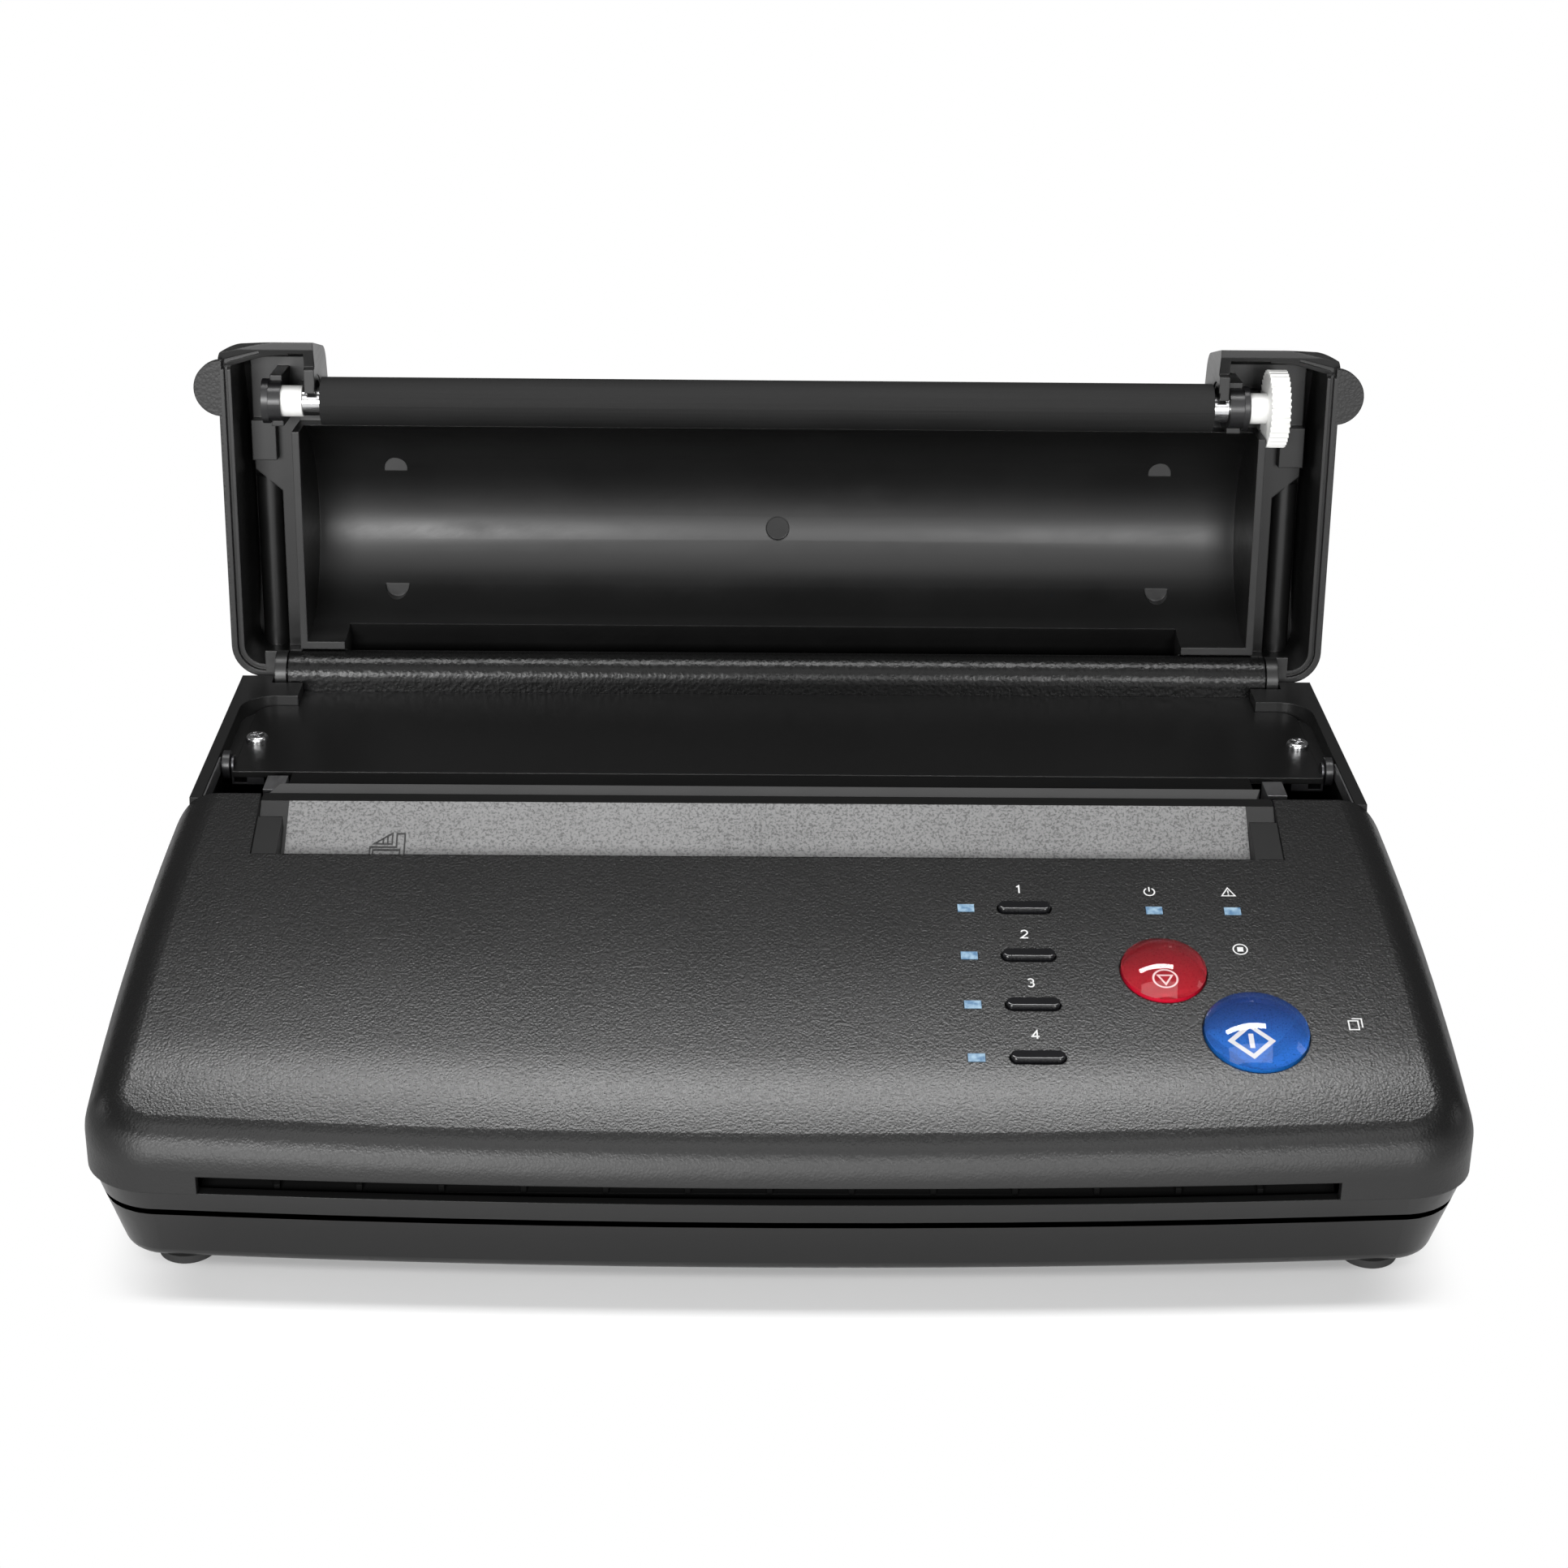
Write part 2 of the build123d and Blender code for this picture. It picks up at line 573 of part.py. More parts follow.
def front_cover():
    """The sloping cover, with its panel openings, the feed recess and the exit slot."""
    cover = cover_body(0, COVER_REAR_Y) - cover_body(WALL, 0)
    ear = COVER_EAR_RADIUS
    corner = block(
        SHOULDER_HALF_WIDTH - ear, SHOULDER_HALF_WIDTH + 2, COVER_REAR_Y - ear, COVER_REAR_Y + 1, PANEL_TOP_Z - 12, 20
    )
    corner -= post(SHOULDER_HALF_WIDTH - ear, COVER_REAR_Y - ear, PANEL_TOP_Z - 13, 21, ear)
    cover -= both_sides(corner)
    cover -= block(
        TRAY_LEFT - SHELL_GAP, TRAY_RIGHT + SHELL_GAP, RECESS_FRONT_Y, COVER_REAR_Y + 1, SEAM_Z + 20, 20
    )
    cover -= block(SLOT_LEFT, SLOT_RIGHT, FRONT_Y - 2, EXIT_FRONT_Y + 3, SEAM_Z - 1, SEAM_Z - SLOT_SILL + SLOT_HEIGHT)
    low = -2 * WALL
    for index in range(len(KEY_YS)):
        cover -= panel_slot(
            key_place(index), KEY_LENGTH + 2 * MOVING_GAP, KEY_WIDTH + 2 * MOVING_GAP, low, 2
        )
    for place in led_places():
        cover -= on_panel(place) * Box(LED_LENGTH + 2 * SEAT_GAP, LED_WIDTH + 2 * SEAT_GAP, 4 * WALL)
    cover -= panel_disc(STOP_PLACE, STOP_RADIUS + MOVING_GAP, low, 2)
    cover -= panel_disc(COPY_PLACE, COPY_RADIUS + MOVING_GAP, low, 2)
    for place in BOARD_PILLARS:
        cover += panel_disc(place, 2.0, -BOARD_DEPTH, -WALL + 0.2)
    for x, y in CASE_SCREWS:
        pillar = post(x, y, BOSS_TOP_Z, panel_z(y) - WALL / 2, BOSS_RADIUS)
        pillar -= post(x, y, BOSS_TOP_Z - 1, CASE_BOTTOM_Z + CASE_SCREW_LENGTH + 2, SCREW_SHANK_RADIUS + SEAT_GAP)
        cover += both_sides(pillar)
    return cover


def guide_block(x0, x1):
    """A side guide in the feed recess, just under the level of the panel."""
    front = RECESS_FRONT_Y - 1.5
    return side_prism(
        [
            (GUIDE_BLOCK_REAR_Y, panel_z(GUIDE_BLOCK_REAR_Y) - 0.5, 0),
            (RECESS_FRONT_Y + SHELL_GAP, panel_z(RECESS_FRONT_Y) - 0.5, 0),
            (RECESS_FRONT_Y + SHELL_GAP, panel_z(RECESS_FRONT_Y) - WALL - 0.6, 0),
            (front, panel_z(front) - WALL - 0.7, 0),
            (front, recess_z(front) - 1, 0),
            (GUIDE_BLOCK_REAR_Y, recess_z(GUIDE_BLOCK_REAR_Y) - 1, 0),
        ],
        x0,
        x1,
    )


def recess_z(y):
    """Height of the recess's sloping face."""
    return (y - RECESS_TOP_Y) * tan(radians(RECESS_SLOPE))


def document_tray():
    """The feed recess's face and the floor of the document path, with windows for what reaches through."""
    slope = tan(radians(RECESS_SLOPE))
    bend_y = (RECESS_TOP_Y * slope + path_z(0)) / (slope - SLOPE_TAN)
    skin = TRAY_SKIN
    tray = side_prism(
        [
            (LIP_REAR_Y, 0, 0),
            (RECESS_TOP_Y, 0, 0),
            (bend_y, path_z(bend_y), 3.0),
            (TRAY_FRONT_Y, path_z(TRAY_FRONT_Y), 0),
            (TRAY_FRONT_Y, path_z(TRAY_FRONT_Y) - skin, 0),
            (bend_y + skin / 3, path_z(bend_y + skin / 3) - skin, 3.0),
            (RECESS_TOP_Y + skin / 2, -skin, 0),
            (LIP_REAR_Y, -skin, 0),
        ],
        TRAY_LEFT,
        TRAY_RIGHT,
    )
    tray += guide_block(TRAY_LEFT, TRAY_LEFT + GUIDE_BLOCK_WIDTH)
    tray += guide_block(TRAY_RIGHT - GUIDE_BLOCK_WIDTH - 0.7, TRAY_RIGHT)
    rail_rear = UPPER_GUIDE_REAR_Y - 2
    for x0, x1 in ((TRAY_LEFT, TRAY_LEFT + RAIL_WIDTH), (TRAY_RIGHT - RAIL_WIDTH, TRAY_RIGHT)):
        tray += side_prism(
            [
                (rail_rear, path_z(rail_rear) - 0.5, 0),
                (rail_rear, path_z(rail_rear) + PAPER_GAP, 0),
                (TRAY_FRONT_Y, path_z(TRAY_FRONT_Y) + PAPER_GAP, 0),
                (TRAY_FRONT_Y, path_z(TRAY_FRONT_Y) - 0.5, 0),
            ],
            x0,
            x1,
        )
    for y, z in (roller_axis(FEED_Y), roller_axis(EXIT_Y)):
        for x in RING_XS:
            tray -= rod(x - RING_WIDTH / 2 - 1, x + RING_WIDTH / 2 + 1, y, z, FEED_RADIUS + 2 * MOVING_GAP)
        tray -= rod(TRAY_LEFT - 1, TRAY_RIGHT + 1, y, z, FEED_SHAFT_RADIUS + 2 * MOVING_GAP)
        tray -= rod(TRAY_LEFT - 1, LEFT_FRAME_X + SHEET + 1 + MOVING_GAP, y, z, ROLLER_BUSH_FLANGE + SHELL_GAP)
    tray -= scanner_frame() * Box(SCANNER_LENGTH + 2 * SHELL_GAP, SCANNER_WIDTH + 2 * SHELL_GAP, 8)
    return tray


def roller_axis(y):
    """Centre of a document roller that touches the path at y."""
    reach = FEED_RADIUS - FEED_PROUD
    return (y + reach * SLOPE_SIN, path_z(y) - reach * SLOPE_COS)


def scanner_frame(depth=0.0):
    """Location of the scanner bar's face, sunk by depth."""
    spot = Plane(origin=(SCANNER_X, SCANNER_Y, path_z(SCANNER_Y)), x_dir=(1, 0, 0), z_dir=PANEL.z_dir)
    return spot * Pos(0, 0, -depth)


def scanner_bar():
    """The housing of the line scanner, under the document path."""
    body = scanner_frame(GLASS_THICKNESS + SCANNER_HEIGHT / 2) * Box(SCANNER_LENGTH, SCANNER_WIDTH, SCANNER_HEIGHT)
    seat = scanner_frame(GLASS_THICKNESS) * Box(SCANNER_LENGTH - 8, SCANNER_WIDTH - 7, 3)
    return body - seat


def scanner_glass():
    """The window that the document slides over."""
    return scanner_frame(GLASS_THICKNESS / 2) * Box(SCANNER_LENGTH, SCANNER_WIDTH, GLASS_THICKNESS)


def upper_guide():
    """The sheet that keeps the document down on its path."""
    rear = UPPER_GUIDE_REAR_Y - 2
    return side_prism(
        [
            (rear, path_z(rear) + PAPER_GAP, 0),
            (rear, path_z(rear) + PAPER_GAP + UPPER_GUIDE_SKIN, 0),
            (TRAY_FRONT_Y, path_z(TRAY_FRONT_Y) + PAPER_GAP + UPPER_GUIDE_SKIN, 0),
            (TRAY_FRONT_Y, path_z(TRAY_FRONT_Y) + PAPER_GAP, 0),
        ],
        TRAY_LEFT,
        TRAY_RIGHT,
    )


def pinch_pads():
    """Felt pads that press the document on the rollers' rings."""
    pads = []
    for y in (FEED_Y, EXIT_Y):
        spot = Plane(origin=(0, y, path_z(y)), x_dir=(1, 0, 0), z_dir=PANEL.z_dir)
        low = FEED_PROUD + MOVING_GAP
        high = PAPER_GAP * SLOPE_COS
        for x in RING_XS:
            pads.append(spot * Pos(x, 0, (low + high) / 2) * Box(RING_WIDTH - 4, 5, high - low))
    return Compound(children=pads)


def exit_guide():
    """The ribbed chute that leads the document down to the front slot."""
    floor_z = SEAM_Z - SLOT_SILL
    front = EXIT_FRONT_Y + 1
    rear = TRAY_FRONT_Y - SHELL_GAP
    chute = side_prism(
        [
            (rear, path_z(rear) - EXIT_RIB_HEIGHT, 0),
            (front, floor_z - EXIT_RIB_HEIGHT, 0),
            (front, floor_z - EXIT_RIB_HEIGHT - TRAY_SKIN, 0),
            (rear, path_z(rear) - EXIT_RIB_HEIGHT - TRAY_SKIN, 0),
        ],
        SLOT_LEFT,
        SLOT_RIGHT,
    )
    middle = (SLOT_LEFT + SLOT_RIGHT) / 2
    count = int((SLOT_RIGHT - SLOT_LEFT) / 2 / EXIT_RIB_PITCH)
    for index in range(-count, count + 1):
        x = middle + index * EXIT_RIB_PITCH
        chute += side_prism(
            [
                (rear, path_z(rear), 0),
                (front, floor_z, 0),
                (front, floor_z - EXIT_RIB_HEIGHT - 0.5, 0),
                (rear, path_z(rear) - EXIT_RIB_HEIGHT - 0.5, 0),
            ],
            x - EXIT_RIB_WIDTH / 2,
            x + EXIT_RIB_WIDTH / 2,
        )
    return chute


# ------------------------------------------------------------------ deck, head and what carries them


def deck_plate():
    """The smooth plate between the hinge bar and the thermal head."""
    return plan_prism(
        [
            (DECK_HALF_WIDTH, DECK_FRONT_Y, 0),
            (DECK_HALF_WIDTH, DECK_CORNER_Y, SHOULDER_RADIUS - 3),
            (DECK_REAR_HALF_WIDTH, DECK_CORNER_Y, 0),
            (DECK_REAR_HALF_WIDTH, -BAR_RADIUS - SHELL_GAP, 0),
            (-DECK_REAR_HALF_WIDTH, -BAR_RADIUS - SHELL_GAP, 0),
            (-DECK_REAR_HALF_WIDTH, DECK_CORNER_Y, 0),
            (-DECK_HALF_WIDTH, DECK_CORNER_Y, SHOULDER_RADIUS - 3),
            (-DECK_HALF_WIDTH, DECK_FRONT_Y, 0),
        ],
        DECK_Z - DECK_THICKNESS,
        DECK_Z,
    ) - both_sides(post(*DECK_SCREW, DECK_Z - DECK_THICKNESS - 1, DECK_Z + 1, SCREW_SHANK_RADIUS + SEAT_GAP))


def pan_screw(length):
    """A cross-recess screw standing up from Z = 0, with its shank below."""
    head = post(0, 0, 0, SCREW_HEAD_HEIGHT, SCREW_HEAD_RADIUS)
    head = fillet(head.edges().sort_by(Axis.Z)[-1], SCREW_HEAD_HEIGHT * 0.55)
    arm = SCREW_HEAD_RADIUS * 1.15
    for angle in (0, 90):
        head -= Pos(0, 0, SCREW_HEAD_HEIGHT) * Rot(0, 0, angle) * Box(arm, 0.75, 1.6)
    return head + post(0, 0, -length, 0, SCREW_SHANK_RADIUS)


def deck_screws():
    """The two screws at the deck's corners."""
    x, y = DECK_SCREW
    turned = (30, 65)
    screws = []
    for side, turn in zip((-1, 1), turned):
        screws.append(Pos(side * x, y, DECK_Z) * Rot(0, 0, turn) * pan_screw(5))
    return screws


def case_screws():
    """Screws that draw the cover down on the case."""
    depth = SCREW_HEAD_HEIGHT - 0.5
    screws = []
    for side in (-1, 1):
        for x, y in CASE_SCREWS:
            screws.append(Pos(side * x, y, CASE_BOTTOM_Z + depth) * Rot(180, 0, 0) * pan_screw(CASE_SCREW_LENGTH))
    return screws


def rear_bar():
    """The hinge bar: rounded above, with a flat face that drops to the deck."""
    half = BAR_HALF_LENGTH - SHELL_GAP
    bar = rod(-half, half, 0, HINGE_Z, BAR_RADIUS)
    bar += block(-half, half, -BAR_RADIUS, BAR_RADIUS, BAR_FOOT_Z, HINGE_Z)
    bore = rod(HINGE_PIN_IN, BAR_HALF_LENGTH + 1, 0, HINGE_Z, HINGE_PIN_RADIUS + SEAT_GAP)
    return bar - both_sides(bore)


def hinge_pins():
    """Steel pins that run from the bar into the lid's knuckles."""
    pin = rod(HINGE_PIN_IN, KNUCKLE_OUT - 0.4, 0, HINGE_Z, HINGE_PIN_RADIUS)
    return Compound(children=[pin, mirror(pin, Plane.YZ)])


def paper_guide():
    """The strip in front of the deck, with a leg that stands on the beam."""
    rear = DECK_FRONT_Y - MOVING_GAP
    top = DECK_Z - 0.2
    strip = block(STRIP_LEFT, STRIP_RIGHT, STRIP_FRONT_Y, rear, top - STRIP_SKIN, top)
    leg = block(STRIP_LEFT, STRIP_RIGHT, rear - STRIP_SKIN, rear, BEAM_TOP_Z, top)
    return strip + leg


def thermal_head():
    """The heated bar under the platen roller, with slanted ends."""
    slant = HEAD_END_SLANT
    return plan_prism(
        [
            (HEAD_RIGHT, HEAD_REAR_Y, 0),
            (HEAD_RIGHT - slant, HEAD_FRONT_Y, 0),
            (HEAD_LEFT - slant / 2, HEAD_FRONT_Y, 0),
            (HEAD_LEFT + slant / 2, HEAD_REAR_Y, 0),
        ],
        HEAD_TOP_Z - HEAD_THICKNESS,
        HEAD_TOP_Z,
    )


def heat_sink():
    """The finned aluminium bar under the head."""
    top = HEAD_TOP_Z - HEAD_THICKNESS
    sink = block(HEAD_LEFT + 4, HEAD_RIGHT - 4, HEAD_FRONT_Y + 0.4, HEAD_REAR_Y - 0.4, SINK_BOTTOM_Z, top)
    middle = (HEAD_FRONT_Y + HEAD_REAR_Y) / 2
    for offset in (-2.2, 0, 2.2):
        y = middle + offset
        sink -= block(HEAD_LEFT, HEAD_RIGHT, y - 0.6, y + 0.6, SINK_BOTTOM_Z - 1, top - 1.8)
    return sink


def head_bracket():
    """The sheet-steel tray under the heat sink, with a tab at each end."""
    plate = block(HEAD_LEFT + 1, RIGHT_FRAME_X - 2.2, HEAD_FRONT_Y, HEAD_REAR_Y, SINK_BOTTOM_Z - SHEET, SINK_BOTTOM_Z)
    left = block(HEAD_LEFT + 1, HEAD_LEFT + 1 + SHEET, TAB_FRONT_Y, TAB_REAR_Y, SINK_BOTTOM_Z - SHEET, TAB_TOP_Z)
    left_tab = block(HEAD_LEFT - 2.5, HEAD_LEFT + 1 + SHEET, TAB_FRONT_Y, TAB_REAR_Y, TAB_TOP_Z - SHEET, TAB_TOP_Z)
    right_in = RIGHT_FRAME_X - 2.2 - SHEET
    right = block(right_in, right_in + SHEET, TAB_FRONT_Y, TAB_REAR_Y, SINK_BOTTOM_Z - SHEET, TAB_TOP_Z)
    right_tab = block(right_in, RIGHT_FRAME_X + SHEET, TAB_FRONT_Y, TAB_REAR_Y, TAB_TOP_Z - SHEET, TAB_TOP_Z)
    head_room = plan_prism(
        [
            (HEAD_RIGHT + SHELL_GAP, HEAD_REAR_Y + SHELL_GAP, 0),
            (HEAD_RIGHT - HEAD_END_SLANT + SHELL_GAP, HEAD_FRONT_Y - 1, 0),
            (HEAD_LEFT - HEAD_END_SLANT / 2 - SHELL_GAP, HEAD_FRONT_Y - 1, 0),
            (HEAD_LEFT + HEAD_END_SLANT / 2 - SHELL_GAP, HEAD_REAR_Y + SHELL_GAP, 0),
        ],
        HEAD_TOP_Z - HEAD_THICKNESS - SHELL_GAP,
        HEAD_TOP_Z + 1,
    )
    return plate + left + left_tab + right + right_tab - head_room


def head_springs():
    """Coil springs that push the head up against the platen roller."""
    low = BEAM_TOP_Z + SPRING_WIRE
    high = SINK_BOTTOM_Z - SHEET - SPRING_WIRE
    turns = 3.5
    path = Helix(pitch=(high - low) / turns, height=high - low, radius=SPRING_RADIUS)
    section = Plane(origin=path @ 0, z_dir=path % 0) * Circle(SPRING_WIRE)
    coil = sweep(section, path=path)
    middle = (HEAD_FRONT_Y + HEAD_REAR_Y) / 2
    return Compound(children=[Pos(x, middle, low) * coil for x in SPRING_XS])


def head_beam():
    """The cross beam between the side frames."""
    return block(
        LEFT_FRAME_X + SHEET, RIGHT_FRAME_X, HEAD_FRONT_Y - 2, DECK_FRONT_Y - 1, BEAM_TOP_Z - SHEET, BEAM_TOP_Z
    )


def side_frame(x, flange_dir, holes):
    """A sheet-steel side frame standing on the case's floor."""
    low = BEAM_TOP_Z - SHELL_GAP
    frame = side_prism(
        [
            (FRAME_REAR_Y, FLOOR_Z, 0),
            (FRAME_REAR_Y, -6.0, 3.0),
            (TAB_REAR_Y + 1.5, -6.0, 0),
            (TAB_REAR_Y + 1.5, low, 0),
            (LIP_REAR_Y - 4, low, 0),
            (UPPER_GUIDE_REAR_Y, path_z(UPPER_GUIDE_REAR_Y) + 1, 0),
            (FRAME_FRONT_Y, path_z(FRAME_FRONT_Y) + 1, 0),
            (FRAME_FRONT_Y, FLOOR_Z, 0),
        ],
        x,
        x + SHEET,
    )
    inner = x + SHEET if flange_dir > 0 else x
    outer = inner + flange_dir * 8
    flange = block(min(inner, outer), max(inner, outer), FRAME_FRONT_Y + 4, FRAME_REAR_Y - 4, FLOOR_Z, FLOOR_Z + SHEET)
    for y, z, radius in holes:
        frame -= rod(x - 1, x + SHEET + 1, y, z, radius)
    return frame + flange


def roller_bushes():
    """Flanged bushes for the document rollers, pressed in the side frames."""
    bushes = []
    for y, z in (roller_axis(FEED_Y), roller_axis(EXIT_Y)):
        for x, side in ((LEFT_FRAME_X, -1), (RIGHT_FRAME_X, 1)):
            inner = x + SHEET if side < 0 else x
            barrel = rod(x, x + SHEET, y, z, ROLLER_BUSH_RADIUS - SEAT_GAP)
            flange = rod(min(inner, inner - side), max(inner, inner - side), y, z, ROLLER_BUSH_FLANGE)
            bore = rod(x - 3, x + SHEET + 3, y, z, JOURNAL_RADIUS + RUNNING_GAP)
            bushes.append(barrel + flange - bore)
    return Compound(children=bushes)


# ------------------------------------------------------------------ gears


def pitch_radius(teeth):
    return teeth * GEAR_MODULE / 2


def meet(first, second, reach_first, reach_second, side):
    """The point at two given distances from two centres, on the chosen side of the line between them."""
    dy = second[0] - first[0]
    dz = second[1] - first[1]
    span = hypot(dy, dz)
    along = (reach_first**2 - reach_second**2 + span**2) / (2 * span)
    across = side * sqrt(reach_first**2 - along**2)
    return (
        first[0] + (dy * along - dz * across) / span,
        first[1] + (dz * along + dy * across) / span,
    )


def polar(centre, reach, angle):
    """A point at a distance and direction (degrees) from a centre."""
    return (centre[0] + reach * cos(radians(angle)), centre[1] + reach * sin(radians(angle)))


def bearing(first, second):
    """Direction from one centre to another, in degrees."""
    return degrees(atan2(second[1] - first[1], second[0] - first[0]))


def next_phase(phase, teeth, next_teeth, direction):
    """Direction of a tooth on the next gear, so that it meshes with this one."""
    return direction + 180 + (180 - (phase - direction) * teeth) / next_teeth


PLATEN_AXIS = (PLATEN_Y, PLATEN_Z)
CLOSING = degrees(atan2(PLATEN_Y, HINGE_Z - PLATEN_Z))
FIRST_IDLER = polar(PLATEN_AXIS, pitch_radius(PLATEN_TEETH) + pitch_radius(FIRST_IDLER_TEETH), CLOSING)
FEED_AXIS = roller_axis(FEED_Y)
EXIT_AXIS = roller_axis(EXIT_Y)
SECOND_IDLER = meet(
    FIRST_IDLER,
    FEED_AXIS,
    pitch_radius(FIRST_IDLER_TEETH) + pitch_radius(SECOND_IDLER_TEETH),
    pitch_radius(SECOND_IDLER_TEETH) + pitch_radius(ROLLER_TEETH),
    1,
)
THIRD_IDLER = meet(
    FEED_AXIS,
    EXIT_AXIS,
    pitch_radius(ROLLER_TEETH) + pitch_radius(THIRD_IDLER_TEETH),
    pitch_radius(THIRD_IDLER_TEETH) + pitch_radius(ROLLER_TEETH),
    1,
)
MOTOR_AXIS = polar(SECOND_IDLER, pitch_radius(SECOND_IDLER_TEETH) + pitch_radius(PINION_TEETH), MOTOR_BEARING)

PLATEN_PHASE = CLOSING
FIRST_PHASE = next_phase(PLATEN_PHASE, PLATEN_TEETH, FIRST_IDLER_TEETH, CLOSING)
SECOND_PHASE = next_phase(FIRST_PHASE, FIRST_IDLER_TEETH, SECOND_IDLER_TEETH, bearing(FIRST_IDLER, SECOND_IDLER))
FEED_PHASE = next_phase(SECOND_PHASE, SECOND_IDLER_TEETH, ROLLER_TEETH, bearing(SECOND_IDLER, FEED_AXIS))
THIRD_PHASE = next_phase(FEED_PHASE, ROLLER_TEETH, THIRD_IDLER_TEETH, bearing(FEED_AXIS, THIRD_IDLER))
EXIT_PHASE = next_phase(THIRD_PHASE, THIRD_IDLER_TEETH, ROLLER_TEETH, bearing(THIRD_IDLER, EXIT_AXIS))
PINION_PHASE = next_phase(SECOND_PHASE, SECOND_IDLER_TEETH, PINION_TEETH, MOTOR_BEARING)


def involute(angle):
    return tan(angle) - angle


def gear(centre, teeth, phase, bore, x0, x1):
    """A spur gear across X, with one tooth pointing in the direction phase."""
    pitch = pitch_radius(teeth)
    pressure = radians(20)
    base = pitch * cos(pressure)
    root = pitch - 1.25 * GEAR_MODULE
    tip = pitch + GEAR_MODULE
    half_pitch = pi / (2 * teeth) - TOOTH_SLACK / 2 / pitch
    start = max(root, base)
    radii = [start, (start + pitch) / 2, pitch, tip]
    flank = []
    for radius in radii:
        angle = half_pitch + involute(pressure) - involute(acos(min(1, base / radius)))
        flank.append((radius, angle))
    if root < base:
        flank.insert(0, (root, flank[0][1]))
    points = []
    for tooth in range(teeth):
        middle = radians(phase) + 2 * pi * tooth / teeth
        for radius, angle in flank:
            points.append((radius * cos(middle - angle), radius * sin(middle - angle)))
        for radius, angle in reversed(flank):
            points.append((radius * cos(middle + angle), radius * sin(middle + angle)))
    face = make_face(Polyline(*points, close=True))
    wheel = extrude(Plane((x0, *centre), x_dir=(0, 1, 0), z_dir=(1, 0, 0)) * face, amount=x1 - x0)
    return wheel - rod(x0 - 1, x1 + 1, *centre, bore)


def platen_gear():
    """The roller's gear with its long hub."""
    bore = JOURNAL_RADIUS + SEAT_GAP
    wheel = gear(PLATEN_AXIS, PLATEN_TEETH, PLATEN_PHASE, bore, GEAR_LEFT, GEAR_RIGHT)
    hub = tube(RIGHT_FLANGE_OUT + MOVING_GAP, GEAR_LEFT, *PLATEN_AXIS, HUB_RADIUS, bore)
    return wheel + hub


def idler_posts():
    """Posts riveted in the right-hand frame for the idler gears."""
    posts = []
    start = RIGHT_FRAME_X + SHEET
    for axis in (FIRST_IDLER, SECOND_IDLER, THIRD_IDLER):
        stem = rod(start, GEAR_RIGHT + 1.2, *axis, POST_RADIUS)
        posts.append(stem + rod(start, GEAR_LEFT - MOVING_GAP, *axis, POST_RADIUS + 1))
    return posts


def idler_clips():
    """Retaining rings on the ends of the posts."""
    clips = []
    for axis in (FIRST_IDLER, SECOND_IDLER, THIRD_IDLER):
        left = GEAR_RIGHT + MOVING_GAP
        clips.append(tube(left, left + 0.6, *axis, POST_RADIUS + 1.2, POST_RADIUS + SEAT_GAP))
    return clips


def roller_shaft(axis):
    """A document roller's steel shaft, stepped down to run in its bushes."""
    left = LEFT_FRAME_X + SHEET + 1 + MOVING_GAP
    right = RIGHT_FRAME_X - 1 - MOVING_GAP
    body = rod(left, right, *axis, FEED_SHAFT_RADIUS)
    return body + rod(LEFT_FRAME_X - 1.5, GEAR_RIGHT + 0.5, *axis, JOURNAL_RADIUS)


def roller_rings(axis):
    """The rubber rings of a document roller."""
    rings = []
    for x in RING_XS:
        rings.append(
            tube(x - RING_WIDTH / 2, x + RING_WIDTH / 2, *axis, FEED_RADIUS, FEED_SHAFT_RADIUS + SEAT_GAP)
        )
    return Compound(children=rings)


def motor_body():
    """The stepper motor's can, flanged to the right-hand frame."""
    x1 = RIGHT_FRAME_X
    can = rod(x1 - MOTOR_LENGTH, x1, *MOTOR_AXIS, MOTOR_RADIUS)
    y, z = MOTOR_AXIS
    flange = block(x1 - SHEET, x1, y - MOTOR_RADIUS - 4, y + MOTOR_RADIUS + 4, z - 4, z + 4)
    boss = rod(x1, x1 + SHEET, *MOTOR_AXIS, MOTOR_BOSS_RADIUS - SEAT_GAP)
    bore = rod(x1 - MOTOR_LENGTH + 3, x1 + SHEET + 1, *MOTOR_AXIS, MOTOR_SHAFT_RADIUS + RUNNING_GAP)
    return can + flange + boss - bore


def motor_shaft():
    return rod(RIGHT_FRAME_X - MOTOR_LENGTH + 4, GEAR_RIGHT + 0.5, *MOTOR_AXIS, MOTOR_SHAFT_RADIUS)


# ------------------------------------------------------------------ catches and strips at the rim

def catch_roller(side):
    """A roller that the lid's side pad rides over."""
    roller = tube(CATCH_LEFT, CATCH_RIGHT, CATCH_Y, CATCH_Z, CATCH_RADIUS, CATCH_PIN_RADIUS + RUNNING_GAP)
    return roller if side > 0 else mirror(roller, Plane.YZ)


